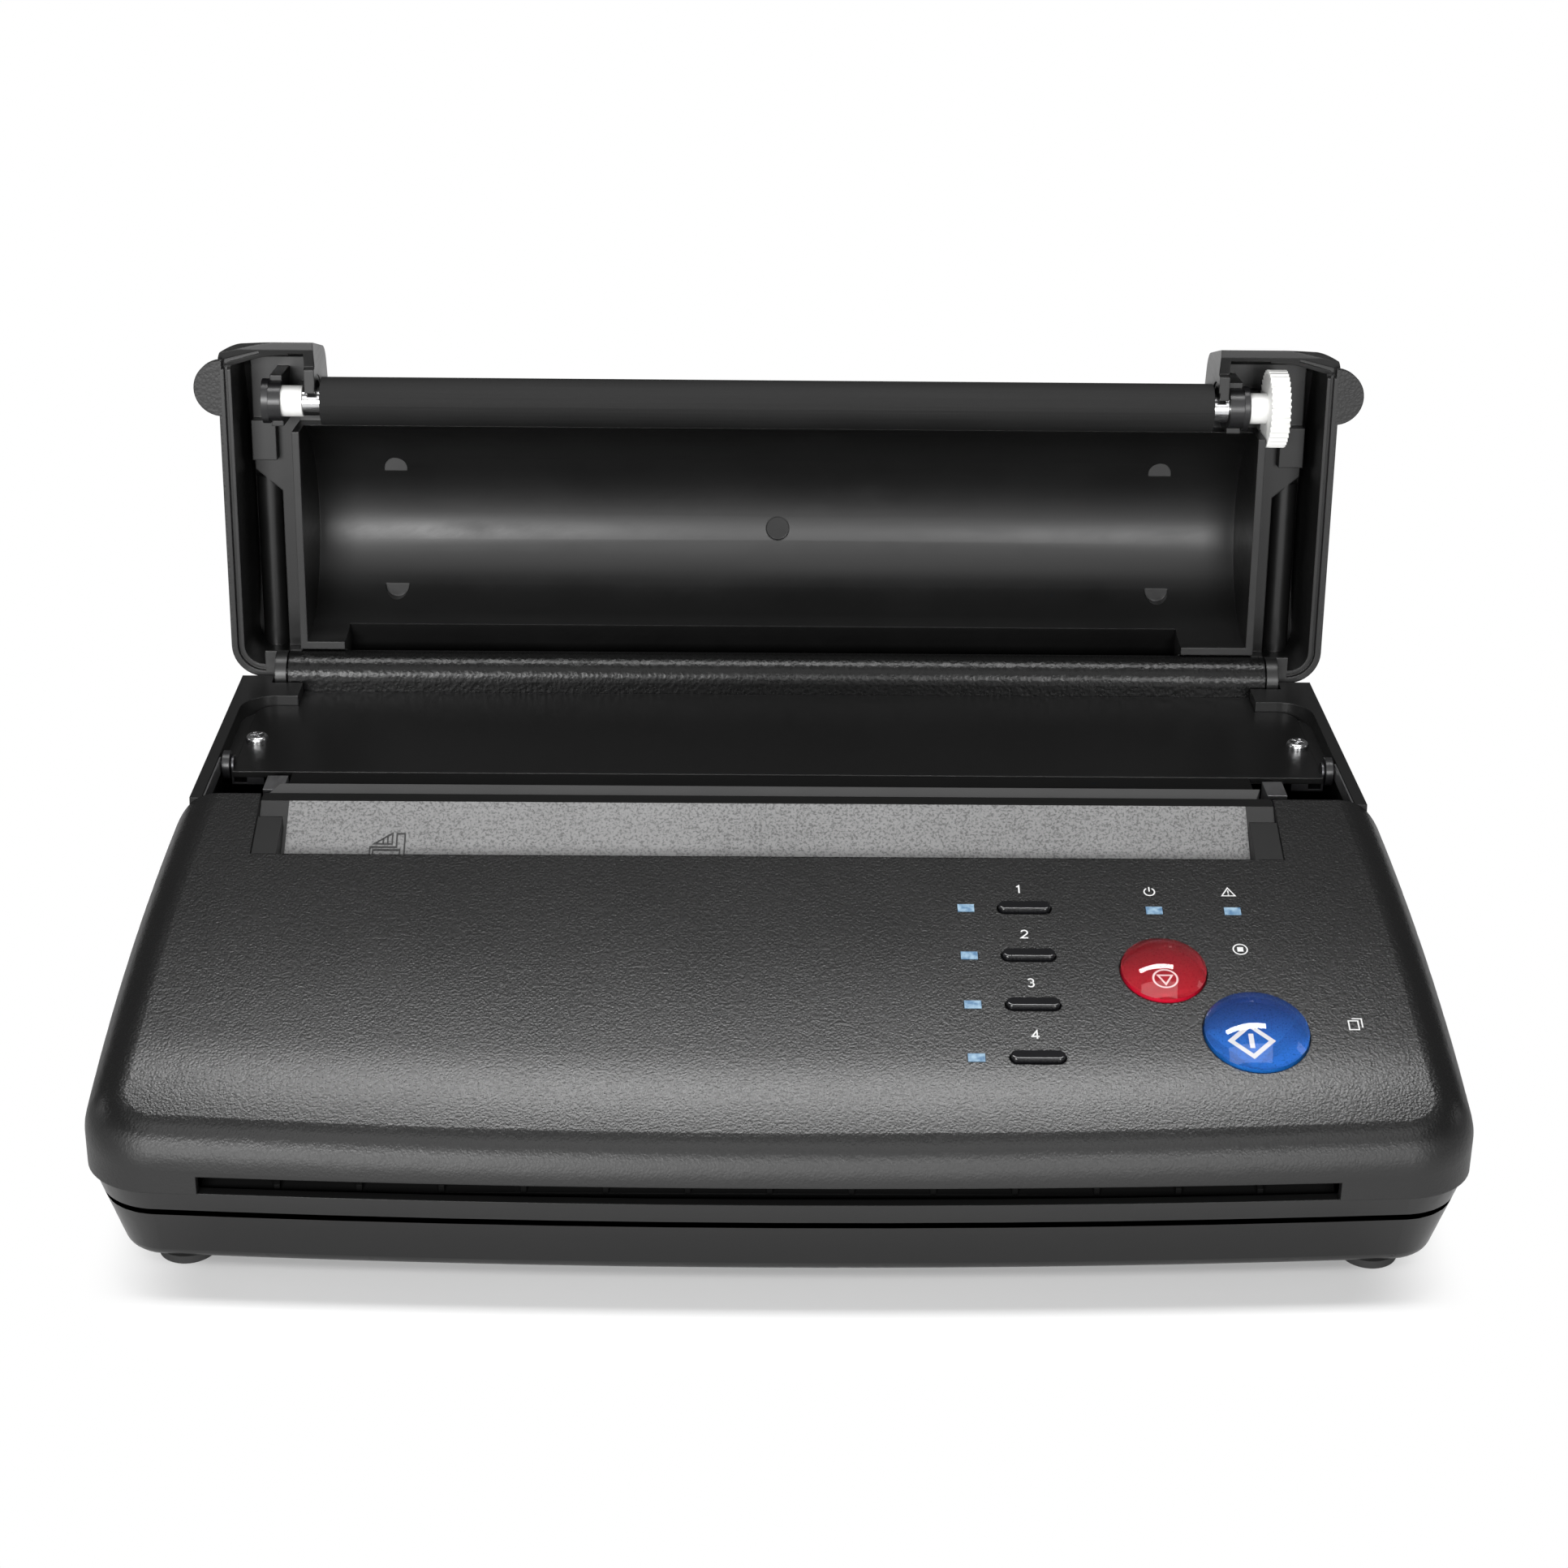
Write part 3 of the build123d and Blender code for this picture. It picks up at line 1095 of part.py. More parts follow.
def catch_brackets():
    """Steel brackets under the deck, each with an ear that carries a roller's pin."""
    ear_right = CATCH_LEFT - MOVING_GAP
    ear_left = ear_right - CATCH_EAR
    foot_z = CATCH_Z - CATCH_RADIUS - MOVING_GAP
    deck_bottom = DECK_Z - DECK_THICKNESS
    ear = rod(ear_left, ear_right, CATCH_Y, CATCH_Z, 2.2)
    ear += block(ear_left, ear_right, CATCH_Y - 2.2, CATCH_Y + 2.2, foot_z - CATCH_EAR, CATCH_Z)
    foot = block(ear_left - 7, ear_right, CATCH_Y - 2.2, CATCH_Y + 2.2, foot_z - CATCH_EAR, foot_z)
    lug = block(ear_left - 7, ear_left - 3, CATCH_Y - 2.2, CATCH_Y + 2.2, foot_z, deck_bottom)
    pin = rod(ear_left, SIDE_STRIP_OUT - SIDE_STRIP_THICKNESS, CATCH_Y, CATCH_Z, CATCH_PIN_RADIUS)
    bracket = ear + foot + lug + pin
    return Compound(children=[bracket, mirror(bracket, Plane.YZ)])


def side_strips():
    """Thin spring-steel strips along the inside of the rim."""
    strip = side_prism(
        [
            (LEDGE_FRONT_Y, -3.4, 0),
            (LEDGE_FRONT_Y - 5, -0.2, 0),
            (COVER_REAR_Y + 0.4, -0.2, 0),
            (COVER_REAR_Y + 0.4, -3.8, 0),
        ],
        SIDE_STRIP_OUT - SIDE_STRIP_THICKNESS,
        SIDE_STRIP_OUT,
    )
    return Compound(children=[strip, mirror(strip, Plane.YZ)])


# ------------------------------------------------------------------ electrics


def power_inlet():
    """The mains inlet in the rear wall."""
    gap = SHELL_GAP
    half = INLET_WIDTH / 2 - gap
    tall = INLET_TALL / 2 - gap
    body = block(INLET_X - half, INLET_X + half, -10, REAR_Y, INLET_Z - tall, INLET_Z + tall)
    face = block(INLET_X - half - 2, INLET_X + half + 2, REAR_Y, REAR_Y + 1.5, INLET_Z - tall - 2, INLET_Z + tall + 2)
    socket = extrude(
        Plane.XZ.offset(-REAR_Y - 2)
        * outline(
            [
                (INLET_X - 12, INLET_Z - 8, 1.5),
                (INLET_X + 12, INLET_Z - 8, 1.5),
                (INLET_X + 12, INLET_Z + 3.5, 0),
                (INLET_X + 8, INLET_Z + 8, 0),
                (INLET_X - 8, INLET_Z + 8, 0),
                (INLET_X - 12, INLET_Z + 3.5, 0),
            ]
        ),
        amount=14,
    )
    inlet = body + face - socket
    for x, z in ((-7, -3), (0, 3), (7, -3)):
        inlet += block(INLET_X + x - 1, INLET_X + x + 1, -3, REAR_Y - 3, INLET_Z + z - 2, INLET_Z + z + 2)
    return inlet


def rocker_frame():
    """The housing of the power switch."""
    half = ROCKER_WIDTH / 2 - SHELL_GAP
    tall = ROCKER_TALL / 2 - SHELL_GAP
    body = block(ROCKER_X - half, ROCKER_X + half, -6, REAR_Y, INLET_Z - tall, INLET_Z + tall)
    face = block(ROCKER_X - half - 1.5, ROCKER_X + half + 1.5, REAR_Y, REAR_Y + 1.2, INLET_Z - tall - 1.5, INLET_Z + tall + 1.5)
    room = block(ROCKER_X - half + 1.2, ROCKER_X + half - 1.2, REAR_Y - 9, REAR_Y + 3, INLET_Z - tall + 1.2, INLET_Z + tall - 1.2)
    axle = rod(ROCKER_X - half + 0.5, ROCKER_X + half - 0.5, ROCKER_AXIS_Y, INLET_Z, 1.0)
    return body + face - room + axle


def power_rocker():
    """The rocker, resting with its lower end pressed."""
    half = ROCKER_WIDTH / 2 - SHELL_GAP - 1.2 - MOVING_GAP
    tall = ROCKER_TALL / 2 - SHELL_GAP - 1.2 - 2 * MOVING_GAP
    y = ROCKER_AXIS_Y
    z = INLET_Z
    body = side_prism(
        [
            (y - 2.4, z, 1.0),
            (y + 1.0, z - tall, 0),
            (y + 5.3, z - tall + 0.6, 0.5),
            (y + 3.9, z, 12.0),
            (y + 5.3, z + tall - 0.6, 0.5),
            (y + 1.0, z + tall, 0),
        ],
        ROCKER_X - half,
        ROCKER_X + half,
    )
    body -= rod(ROCKER_X - half - 1, ROCKER_X + half + 1, y, z, 1.0 + RUNNING_GAP)
    pivot = Pos(0, y, z)
    return pivot * Rot(ROCKER_TILT, 0, 0) * pivot.inverse() * body


def main_board():
    """The control board on its posts."""
    x0, x1 = BOARD_POST_XS
    y0, y1 = BOARD_POST_YS
    return block(x0 - 4, x1 + 4, y0 - 4, y1 + 4, BOARD_Z, BOARD_Z + BOARD_SKIN)


def board_parts():
    """Chips, sockets and capacitors of the control board, as boxes and cans standing on it."""
    top = BOARD_Z + BOARD_SKIN
    left = BOARD_POST_XS[0]
    front = BOARD_POST_YS[0]
    parts = []
    for u, v, length, width, height in BOARD_BOXES:
        parts.append(block(left + u, left + u + length, front + v, front + v + width, top, top + height))
    for u, v, radius, height in BOARD_CANS:
        parts.append(post(left + u, front + v, top, top + height, radius))
    return parts


def power_supply():
    """The mains supply's tray with its transformer, on the case's floor."""
    left = SUPPLY_RIGHT - SUPPLY_LENGTH
    front = SUPPLY_REAR_Y - SUPPLY_WIDTH
    tray_z = FLOOR_Z + SUPPLY_HEIGHT / 5
    edge = SUPPLY_LENGTH / 5
    side = SUPPLY_WIDTH / 7
    tray = block(left, SUPPLY_RIGHT, front, SUPPLY_REAR_Y, FLOOR_Z, tray_z)
    core = block(left + edge, SUPPLY_RIGHT - edge, front + side, SUPPLY_REAR_Y - side, tray_z, FLOOR_Z + SUPPLY_HEIGHT)
    coil = block(left + 1.4 * edge, SUPPLY_RIGHT - 1.4 * edge, front + 2, SUPPLY_REAR_Y - 2, tray_z + 2, FLOOR_Z + SUPPLY_HEIGHT - 2)
    return tray + core + coil


def key_board():
    """The board behind the keys."""
    depth = BOARD_DEPTH + BOARD_THICKNESS / 2
    v0 = (BOARD_FRONT_Y - PANEL_TOP_Y) / SLOPE_COS
    v1 = (BOARD_REAR_Y - PANEL_TOP_Y) / SLOPE_COS
    middle = Pos((BOARD_LEFT + BOARD_RIGHT) / 2, (v0 + v1) / 2, -depth)
    return PANEL * middle * Box(BOARD_RIGHT - BOARD_LEFT, v1 - v0, BOARD_THICKNESS)


def tact_switches():
    """One small switch under each key and button."""
    places = [key_place(index) for index in range(len(KEY_YS))] + [STOP_PLACE, COPY_PLACE]
    depth = BOARD_DEPTH - SWITCH_HEIGHT / 2
    return [on_panel(place, depth) * Box(SWITCH_SIDE, SWITCH_SIDE, SWITCH_HEIGHT) for place in places]


def led_windows():
    """Clear light guides from the key board up to the panel."""
    tall = BOARD_DEPTH + LED_PROUD
    depth = (BOARD_DEPTH - LED_PROUD) / 2
    return Compound(children=[on_panel(place, depth) * Box(LED_LENGTH, LED_WIDTH, tall) for place in led_places()])


def flange_top():
    return -WALL - MOVING_GAP


def key(index):
    """A bar key with its flange under the panel."""
    place = key_place(index)
    top = flange_top()
    body = panel_slot(place, KEY_LENGTH, KEY_WIDTH, top, KEY_PROUD)
    body = fillet(body.faces().sort_by(Axis((0, 0, 0), PANEL.z_dir))[-1].edges(), 0.5)
    return body + panel_slot(place, KEY_LENGTH + 2, KEY_WIDTH + 2, top - FLANGE_THICKNESS, top)


def push_button(place, radius):
    """A round button's cap, with its flange under the panel."""
    top = flange_top()
    cap = panel_disc(place, radius, top, BUTTON_PROUD)
    return cap + panel_disc(place, radius + BUTTON_FLANGE, top - FLANGE_THICKNESS, top)


def button_dome(place, radius, height):
    """The clear dome on a button's cap."""
    ball = (radius**2 + height**2) / (2 * height)
    dome = on_panel(place, ball - height - BUTTON_PROUD) * Sphere(ball)
    keep = panel_disc(place, radius, BUTTON_PROUD, BUTTON_PROUD + height + 1)
    return dome & keep


# ------------------------------------------------------------------ lid


def lid_section(inset):
    """The lid's side view, drawn in by inset."""
    slant = inset / cos(radians(12.6))
    return [
        (LID_FRONT_Y + slant, HINGE_Z if not inset else -1, 0),
        (LID_FRONT_Y + 4.5 + slant * 0.85, 20.5 - inset * 0.75, 7.0 - inset),
        (-46.0, LID_TOP_Z - inset, 50.0),
        (-18.0, LID_TOP_Z - inset, 42.0),
        (LID_REAR_Y - inset, 24.0 - inset * 0.75, 12.0 - inset),
        (LID_REAR_Y - inset, HINGE_Z if not inset else -1, 0),
    ]


def lid_plan(inset, z0, z1):
    """The lid from above, drawn in by inset."""
    side = LID_HALF_WIDTH - inset
    return plan_prism(
        [
            (LID_CORNER_X, LID_FRONT_Y + inset, 30.0),
            (side, LID_CORNER_Y + inset, 0),
            (side, LID_REAR_Y - inset, LID_REAR_RADIUS - inset),
            (-side, LID_REAR_Y - inset, LID_REAR_RADIUS - inset),
            (-side, LID_CORNER_Y + inset, 0),
            (-LID_CORNER_X, LID_FRONT_Y + inset, 30.0),
        ],
        z0,
        z1,
    )


def lid_outside():
    """The lid before it is hollowed."""
    solid = side_prism(lid_section(0), -LID_HALF_WIDTH, LID_HALF_WIDTH)
    rims = [edge for edge in solid.edges() if abs(edge.center().X) > LID_HALF_WIDTH - 1]
    solid = fillet([edge for edge in rims if edge.center().Z > HINGE_Z + 1], LID_EDGE_RADIUS)
    return solid & lid_plan(0, -1, LID_TOP_Z + 1)


def lid_pocket(side):
    """The hollow beside the roll, down to the lid's skin, with its web, shelf and column left standing."""
    inner = CAVITY_HALF_LENGTH + END_WALL
    outer = LID_HALF_WIDTH - LID_SIDE
    hollow = side_prism(lid_section(LID_SKIN), inner, outer)
    hollow = hollow & lid_plan(LID_SIDE, -2, LID_TOP_Z + 1)
    web = plan_prism(
        [
            (inner - 1, LID_FRONT_Y, 0),
            (WEB_OUT, LID_FRONT_Y, 0),
            (WEB_OUT, -48.0, 0),
            (SHELF_OUT, -42.5, 0),
            (SHELF_OUT, 0, 0),
            (inner - 1, 0, 0),
        ],
        WEB_Z,
        LID_TOP_Z,
    )
    column = Pos(COLUMN_X, -24, WEB_Z + COLUMN_RADIUS) * Rot(90, 0, 0) * Cylinder(COLUMN_RADIUS, 44)
    column += block(COLUMN_X - COLUMN_RADIUS, COLUMN_X + COLUMN_RADIUS, -46, -2, WEB_Z + COLUMN_RADIUS, LID_TOP_Z)
    pad = block(WEB_OUT - 6, WEB_OUT, -61, -51, WEB_Z - PAD_HEIGHT, WEB_Z + 1)
    hollow = hollow - web - column - pad
    return hollow if side > 0 else mirror(hollow, Plane.YZ)


def lid_bearing_saddle(x0, x1):
    """The rib that a roller bearing sits in."""
    rib = block(x0, x1, PLATEN_Y - BEARING_RADIUS - 1.4, PLATEN_Y + BEARING_RADIUS + 1.4, PLATEN_Z, WEB_Z + 0.5)
    return rib - rod(x0 - 1, x1 + 1, *PLATEN_AXIS, BEARING_RADIUS + SEAT_GAP)


def lid_shell():
    """The lid, drawn closed."""
    lid = lid_outside()
    roll = rod(-CAVITY_HALF_LENGTH, CAVITY_HALF_LENGTH, CAVITY_Y, CAVITY_Z, CAVITY_RADIUS)
    roll += block(
        -CAVITY_HALF_LENGTH,
        CAVITY_HALF_LENGTH,
        CAVITY_Y - CAVITY_RADIUS,
        CAVITY_Y + CAVITY_RADIUS,
        -2,
        CAVITY_Z,
    )
    lid -= roll
    lid -= lid_pocket(1)
    lid -= lid_pocket(-1)
    tab_wall = 2.5
    lid -= block(NOTCH_LEFT, NOTCH_RIGHT, LID_FRONT_Y - 1, BROW_Y, -1, LID_TOP_Z + 1)
    roller_bay = block(-WEB_OUT + 6, WEB_OUT - 6, BROW_Y - 0.2, CAVITY_Y - CAVITY_RADIUS + 1, -1, ROLLER_CEILING)
    lid -= roller_bay
    inner_front = side_prism(lid_section(LID_SKIN), NOTCH_RIGHT + tab_wall, CAVITY_HALF_LENGTH + END_WALL)
    inner_front = inner_front & block(0, 200, LID_FRONT_Y, BROW_Y, -2, WEB_Z)
    lid -= inner_front
    left_front = side_prism(lid_section(LID_SKIN), -CAVITY_HALF_LENGTH - END_WALL, NOTCH_LEFT - tab_wall)
    left_front = left_front & block(-200, 0, LID_FRONT_Y, BROW_Y, -2, WEB_Z)
    lid -= left_front
    lid -= block(-CAVITY_HALF_LENGTH - END_WALL - 0.1, CAVITY_HALF_LENGTH + END_WALL + 0.1, BROW_Y - 0.2, -61, -1, ROLLER_CEILING)
    lid -= rod(RUBBER_LEFT - 1.2, RUBBER_RIGHT + 1.2, *PLATEN_AXIS, PLATEN_RADIUS + 2 * MOVING_GAP)
    lid -= rod(-WEB_OUT + 3, WEB_OUT - 3, *PLATEN_AXIS, BEARING_RADIUS + MOVING_GAP)
    lid += lid_bearing_saddle(LEFT_BEARING[0] + SHELL_GAP, LEFT_BEARING[1])
    lid += lid_bearing_saddle(RIGHT_BEARING[0], RIGHT_BEARING[1] - SHELL_GAP)
    groove = lid_plan(GROOVE_INSET, -1, HINGE_Z + GROOVE_DEPTH) - lid_plan(GROOVE_INSET + GROOVE_WIDTH, -2, 8)
    groove -= block(-KNUCKLE_OUT - 1, KNUCKLE_OUT + 1, -100, 10, -2, 8)
    lid -= groove
    for x, y in EJECTOR_PLACES:
        top = CAVITY_Z + sqrt(CAVITY_RADIUS**2 - (y - CAVITY_Y) ** 2)
        lid -= post(x, y, top - 4, top + 0.35, EJECTOR_RADIUS)
    lid -= rod(-KNUCKLE_OUT, KNUCKLE_OUT, 0, HINGE_Z, BAR_RADIUS + MOVING_GAP + SHELL_GAP)
    lid -= block(-KNUCKLE_OUT, KNUCKLE_OUT, -BAR_RADIUS - 0.4, LID_REAR_Y + 1, -1, HINGE_Z)
    lid -= block(INLET_LEFT, INLET_RIGHT, -CAVITY_RADIUS, LID_REAR_Y + 1, -1, HINGE_Z + BAR_RADIUS + MOVING_GAP + INLET_HEIGHT)
    relief_front = (LID_FRONT_Y - 2 - PANEL_TOP_Y) / SLOPE_COS
    relief_rear = (COVER_REAR_Y + MOVING_GAP - PANEL_TOP_Y) / SLOPE_COS
    relief = Box(2 * FRONT_HALF_WIDTH, relief_rear - relief_front, 10)
    over_cover = PANEL * Pos(0, (relief_front + relief_rear) / 2, LID_RELIEF - 5) * relief
    lid -= over_cover
    knuckle = rod(BAR_HALF_LENGTH + MOVING_GAP, KNUCKLE_OUT, 0, HINGE_Z, KNUCKLE_RADIUS)
    root = rod(KNUCKLE_OUT, KNUCKLE_OUT + 3, 0, HINGE_Z, KNUCKLE_RADIUS) & block(0, 200, -20, LID_REAR_Y, HINGE_Z, 20)
    ear = post(LID_HALF_WIDTH - 0.8, EAR_Y, HINGE_Z, HINGE_Z + EAR_THICKNESS, EAR_RADIUS)
    ear -= block(0, LID_HALF_WIDTH - 1, -100, 0, -2, 10)
    bore = rod(BAR_HALF_LENGTH, KNUCKLE_OUT, 0, HINGE_Z, HINGE_PIN_RADIUS + RUNNING_GAP)
    lid += both_sides(knuckle + root + ear)
    return lid - both_sides(bore)


def roller_bearing(x0, x1, flange_out, bore):
    """A plastic bearing with an oval flange at its outer end."""
    barrel = rod(x0, x1, *PLATEN_AXIS, BEARING_RADIUS)
    low = min(flange_out, x0) if flange_out < 0 else x1
    thick = abs(flange_out - (x0 if flange_out < 0 else x1))
    spot = Plane((low, *PLATEN_AXIS), x_dir=(0, 1, 0), z_dir=(1, 0, 0))
    flange = extrude(spot * Ellipse(FLANGE_HEIGHT / 2, FLANGE_DEPTH / 2), amount=thick)
    return barrel + flange - rod(low - 20, low + 20, *PLATEN_AXIS, bore)


def platen_shaft():
    """The roller's steel shaft."""
    shaft = rod(SHAFT_LEFT, SHAFT_RIGHT - SHELL_GAP, *PLATEN_AXIS, SHAFT_RADIUS)
    return shaft + rod(LEFT_FLANGE_OUT + 0.4, GEAR_RIGHT + 0.5, *PLATEN_AXIS, JOURNAL_RADIUS)


def platen_rubber():
    return tube(RUBBER_LEFT, RUBBER_RIGHT, *PLATEN_AXIS, PLATEN_RADIUS, SHAFT_RADIUS + SEAT_GAP)


def platen_bush():
    """The white sleeve at the roller's left end."""
    return tube(LEFT_BEARING[0] + 0.2, SHAFT_LEFT - 0.1, *PLATEN_AXIS, BUSH_RADIUS, JOURNAL_RADIUS + SEAT_GAP)


# ------------------------------------------------------------------ feet

def rubber_feet():
    """Four feet under the case."""
    foot_z = -RIM_HEIGHT
    feet = []
    for x, y in FEET:
        foot = post(x, y, foot_z, CASE_BOTTOM_Z, FOOT_RADIUS)
        foot = fillet(foot.edges().sort_by(Axis.Z)[0], 0.6)
        feet += [foot, mirror(foot, Plane.YZ)]
    return Compound(children=feet)


# ------------------------------------------------------------------ placing and writing

os.makedirs("parts", exist_ok=True)
TO_TABLE = Pos(0, HINGE_SETBACK, RIM_HEIGHT)
OPEN_LID = Pos(0, 0, HINGE_Z) * Rot(-OPEN_ANGLE, 0, 0) * Pos(0, 0, -HINGE_Z)


def write(name, shape, on_lid=False):
    """Place one piece and write its file."""
    place = TO_TABLE * OPEN_LID if on_lid else TO_TABLE
    export_step(place * shape, f"parts/{name}.step")


write("lower_case", lower_case())
write("front_cover", front_cover())
write("document_tray", document_tray())
write("upper_guide", upper_guide())
write("pinch_pads", pinch_pads())
write("exit_guide", exit_guide())
write("scanner_bar", scanner_bar())
write("scanner_glass", scanner_glass())
write("deck_plate", deck_plate())
write("screws", Compound(children=deck_screws() + case_screws()))
write("rear_bar", rear_bar())
write("hinge_pins", hinge_pins())
write("paper_guide", paper_guide())
write("thermal_head", thermal_head())
write("heat_sink", heat_sink())
write("head_bracket", head_bracket())
write("head_springs", head_springs())
write("head_beam", head_beam())
document_holes = [(*FEED_AXIS, ROLLER_BUSH_RADIUS), (*EXIT_AXIS, ROLLER_BUSH_RADIUS)]
write("side_frame_left", side_frame(LEFT_FRAME_X, 1, document_holes))
write("side_frame_right", side_frame(RIGHT_FRAME_X, -1, document_holes + [(*MOTOR_AXIS, MOTOR_BOSS_RADIUS)]))
write("roller_bushes", roller_bushes())
write("idler_posts", Compound(children=idler_posts() + idler_clips()))
write("motor_body", motor_body())
write("catch_roller_left", catch_roller(-1))
write("catch_roller_right", catch_roller(1))
write("catch_brackets", catch_brackets())
write("side_strips", side_strips())
write("power_inlet", Compound(children=[power_inlet(), rocker_frame()]))
write("main_board", Compound(children=[main_board()] + board_parts()))
write("power_supply", power_supply())
write("key_board", Compound(children=[key_board()] + tact_switches()))
write("led_windows", led_windows())
write("rubber_feet", rubber_feet())

write("lid_shell", lid_shell(), on_lid=True)
write("roller_bearing_left", roller_bearing(*LEFT_BEARING, LEFT_FLANGE_OUT, BUSH_RADIUS + RUNNING_GAP), on_lid=True)
write("roller_bearing_right", roller_bearing(*RIGHT_BEARING, RIGHT_FLANGE_OUT, JOURNAL_RADIUS + RUNNING_GAP), on_lid=True)
write("platen_shaft", platen_shaft(), on_lid=True)
write("platen_rubber", platen_rubber(), on_lid=True)
write("platen_bush", platen_bush(), on_lid=True)
write("platen_gear", platen_gear(), on_lid=True)

write("feed_shaft", roller_shaft(FEED_AXIS))
write("feed_rings", roller_rings(FEED_AXIS))
write("feed_gear", gear(FEED_AXIS, ROLLER_TEETH, FEED_PHASE, JOURNAL_RADIUS + SEAT_GAP, GEAR_LEFT, GEAR_RIGHT))
write("exit_shaft", roller_shaft(EXIT_AXIS))
write("exit_rings", roller_rings(EXIT_AXIS))
write("exit_gear", gear(EXIT_AXIS, ROLLER_TEETH, EXIT_PHASE, JOURNAL_RADIUS + SEAT_GAP, GEAR_LEFT, GEAR_RIGHT))
idler_bore = POST_RADIUS + RUNNING_GAP
write("idler_gear_1", gear(FIRST_IDLER, FIRST_IDLER_TEETH, FIRST_PHASE, idler_bore, GEAR_LEFT, GEAR_RIGHT))
write("idler_gear_2", gear(SECOND_IDLER, SECOND_IDLER_TEETH, SECOND_PHASE, idler_bore, GEAR_LEFT, GEAR_RIGHT))
write("idler_gear_3", gear(THIRD_IDLER, THIRD_IDLER_TEETH, THIRD_PHASE, idler_bore, GEAR_LEFT, GEAR_RIGHT))
write("motor_shaft", motor_shaft())
write("motor_pinion", gear(MOTOR_AXIS, PINION_TEETH, PINION_PHASE, MOTOR_SHAFT_RADIUS + SEAT_GAP, GEAR_LEFT, GEAR_RIGHT))

for number in range(len(KEY_YS)):
    write(f"key_{number + 1}", key(number))
write("stop_button", push_button(STOP_PLACE, STOP_RADIUS))
write("stop_dome", button_dome(STOP_PLACE, STOP_RADIUS, STOP_DOME))
write("copy_button", push_button(COPY_PLACE, COPY_RADIUS))
write("copy_dome", button_dome(COPY_PLACE, COPY_RADIUS, COPY_DOME))
write("power_rocker", power_rocker())
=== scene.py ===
# %% [markdown]
# # A thermal stencil copier, from its CAD model to a finished picture
# The CAD model gives every piece its exact shape. This script adds what a drawing lacks: plastics with
# their grain, rubber, steel, printed marks, and a small studio. It is read from top to bottom, one
# step a cell.

# %% [markdown]
# ## The model
# The machine's pieces come in at full size, in metres, on their feet and with the lid open. Their shapes
# are finished, so they could be joined or remeshed here, but they are only given finishes: each still moves
# with its own joint.

import json
import math

import bpy
from mathutils import Matrix, Vector


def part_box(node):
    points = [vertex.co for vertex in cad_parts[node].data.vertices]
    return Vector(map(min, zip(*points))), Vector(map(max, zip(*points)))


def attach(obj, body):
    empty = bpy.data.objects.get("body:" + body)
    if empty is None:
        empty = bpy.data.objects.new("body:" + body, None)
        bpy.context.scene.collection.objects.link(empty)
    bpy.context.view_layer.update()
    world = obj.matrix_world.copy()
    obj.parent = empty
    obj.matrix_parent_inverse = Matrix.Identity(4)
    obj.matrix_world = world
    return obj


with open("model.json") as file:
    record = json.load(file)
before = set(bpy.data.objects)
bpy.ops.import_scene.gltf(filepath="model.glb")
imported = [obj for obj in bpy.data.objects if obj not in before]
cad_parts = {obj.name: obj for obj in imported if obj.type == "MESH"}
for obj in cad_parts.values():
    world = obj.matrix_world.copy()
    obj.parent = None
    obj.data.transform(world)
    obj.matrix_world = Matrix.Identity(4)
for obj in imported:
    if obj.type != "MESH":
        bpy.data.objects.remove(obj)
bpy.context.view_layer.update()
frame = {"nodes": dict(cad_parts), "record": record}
nodes = frame["nodes"]

# %% [markdown]
# ## Shader arithmetic
# A material is a graph of nodes. Written out link by link it is hard to read, so a small class wraps a
# socket and gives it the ordinary operators. `grain * 0.5 + 0.2` then makes two Math nodes.

# %% Sockets that behave like numbers
class Wire:
    """The output of a shader node, with arithmetic."""

    def __init__(self, paint, socket):
        self.paint = paint
        self.socket = socket

    def math(self, operation, *others):
        return self.paint.node("Math", dict(operation=operation), dict(enumerate((self, *others))))

    def __add__(self, other):
        return self.math("ADD", other)

    def __radd__(self, other):
        return self.math("ADD", other)

    def __sub__(self, other):
        return self.math("SUBTRACT", other)

    def __rsub__(self, other):
        return self.paint.node("Math", dict(operation="SUBTRACT"), {0: other, 1: self})

    def __mul__(self, other):
        return self.math("MULTIPLY", other)

    def __rmul__(self, other):
        return self.math("MULTIPLY", other)

    def __truediv__(self, other):
        return self.math("DIVIDE", other)

    def __gt__(self, other):
        return self.math("GREATER_THAN", other)

    def __lt__(self, other):
        return self.math("LESS_THAN", other)

    def abs(self):
        return self.math("ABSOLUTE")

    def max(self, other):
        return self.math("MAXIMUM", other)

    def root(self):
        return self.math("SQRT")

    def ramp(self, low, high):
        """A smooth step from 0 to 1 while this value goes from low to high."""
        settings = dict(interpolation_type="SMOOTHSTEP")
        return self.paint.node("MapRange", settings, {0: self, 1: low, 2: high, 3: 0.0, 4: 1.0})

    def stretch(self, x, y, z):
        """This vector with each component scaled."""
        return self.paint.node("VectorMath", dict(operation="MULTIPLY"), {0: self, 1: (x, y, z)})

    def parts(self):
        """The x, y and z of this vector."""
        return self.paint.node("SeparateXYZ", {}, {0: self}, every=True)

    def blend(self, first, second):
        """A colour between first (where this is 0) and second (where this is 1)."""
        settings = dict(data_type="RGBA")
        return self.paint.node("Mix", settings, {0: self, 6: first, 7: second}, output=2)


# %% [markdown]
# ## A material under construction
# The second class holds the graph itself. One method adds any node, and a few short ones name what the
# finishes below need again and again: noise, scattered cells, a relief, rounded edges and the main shader.

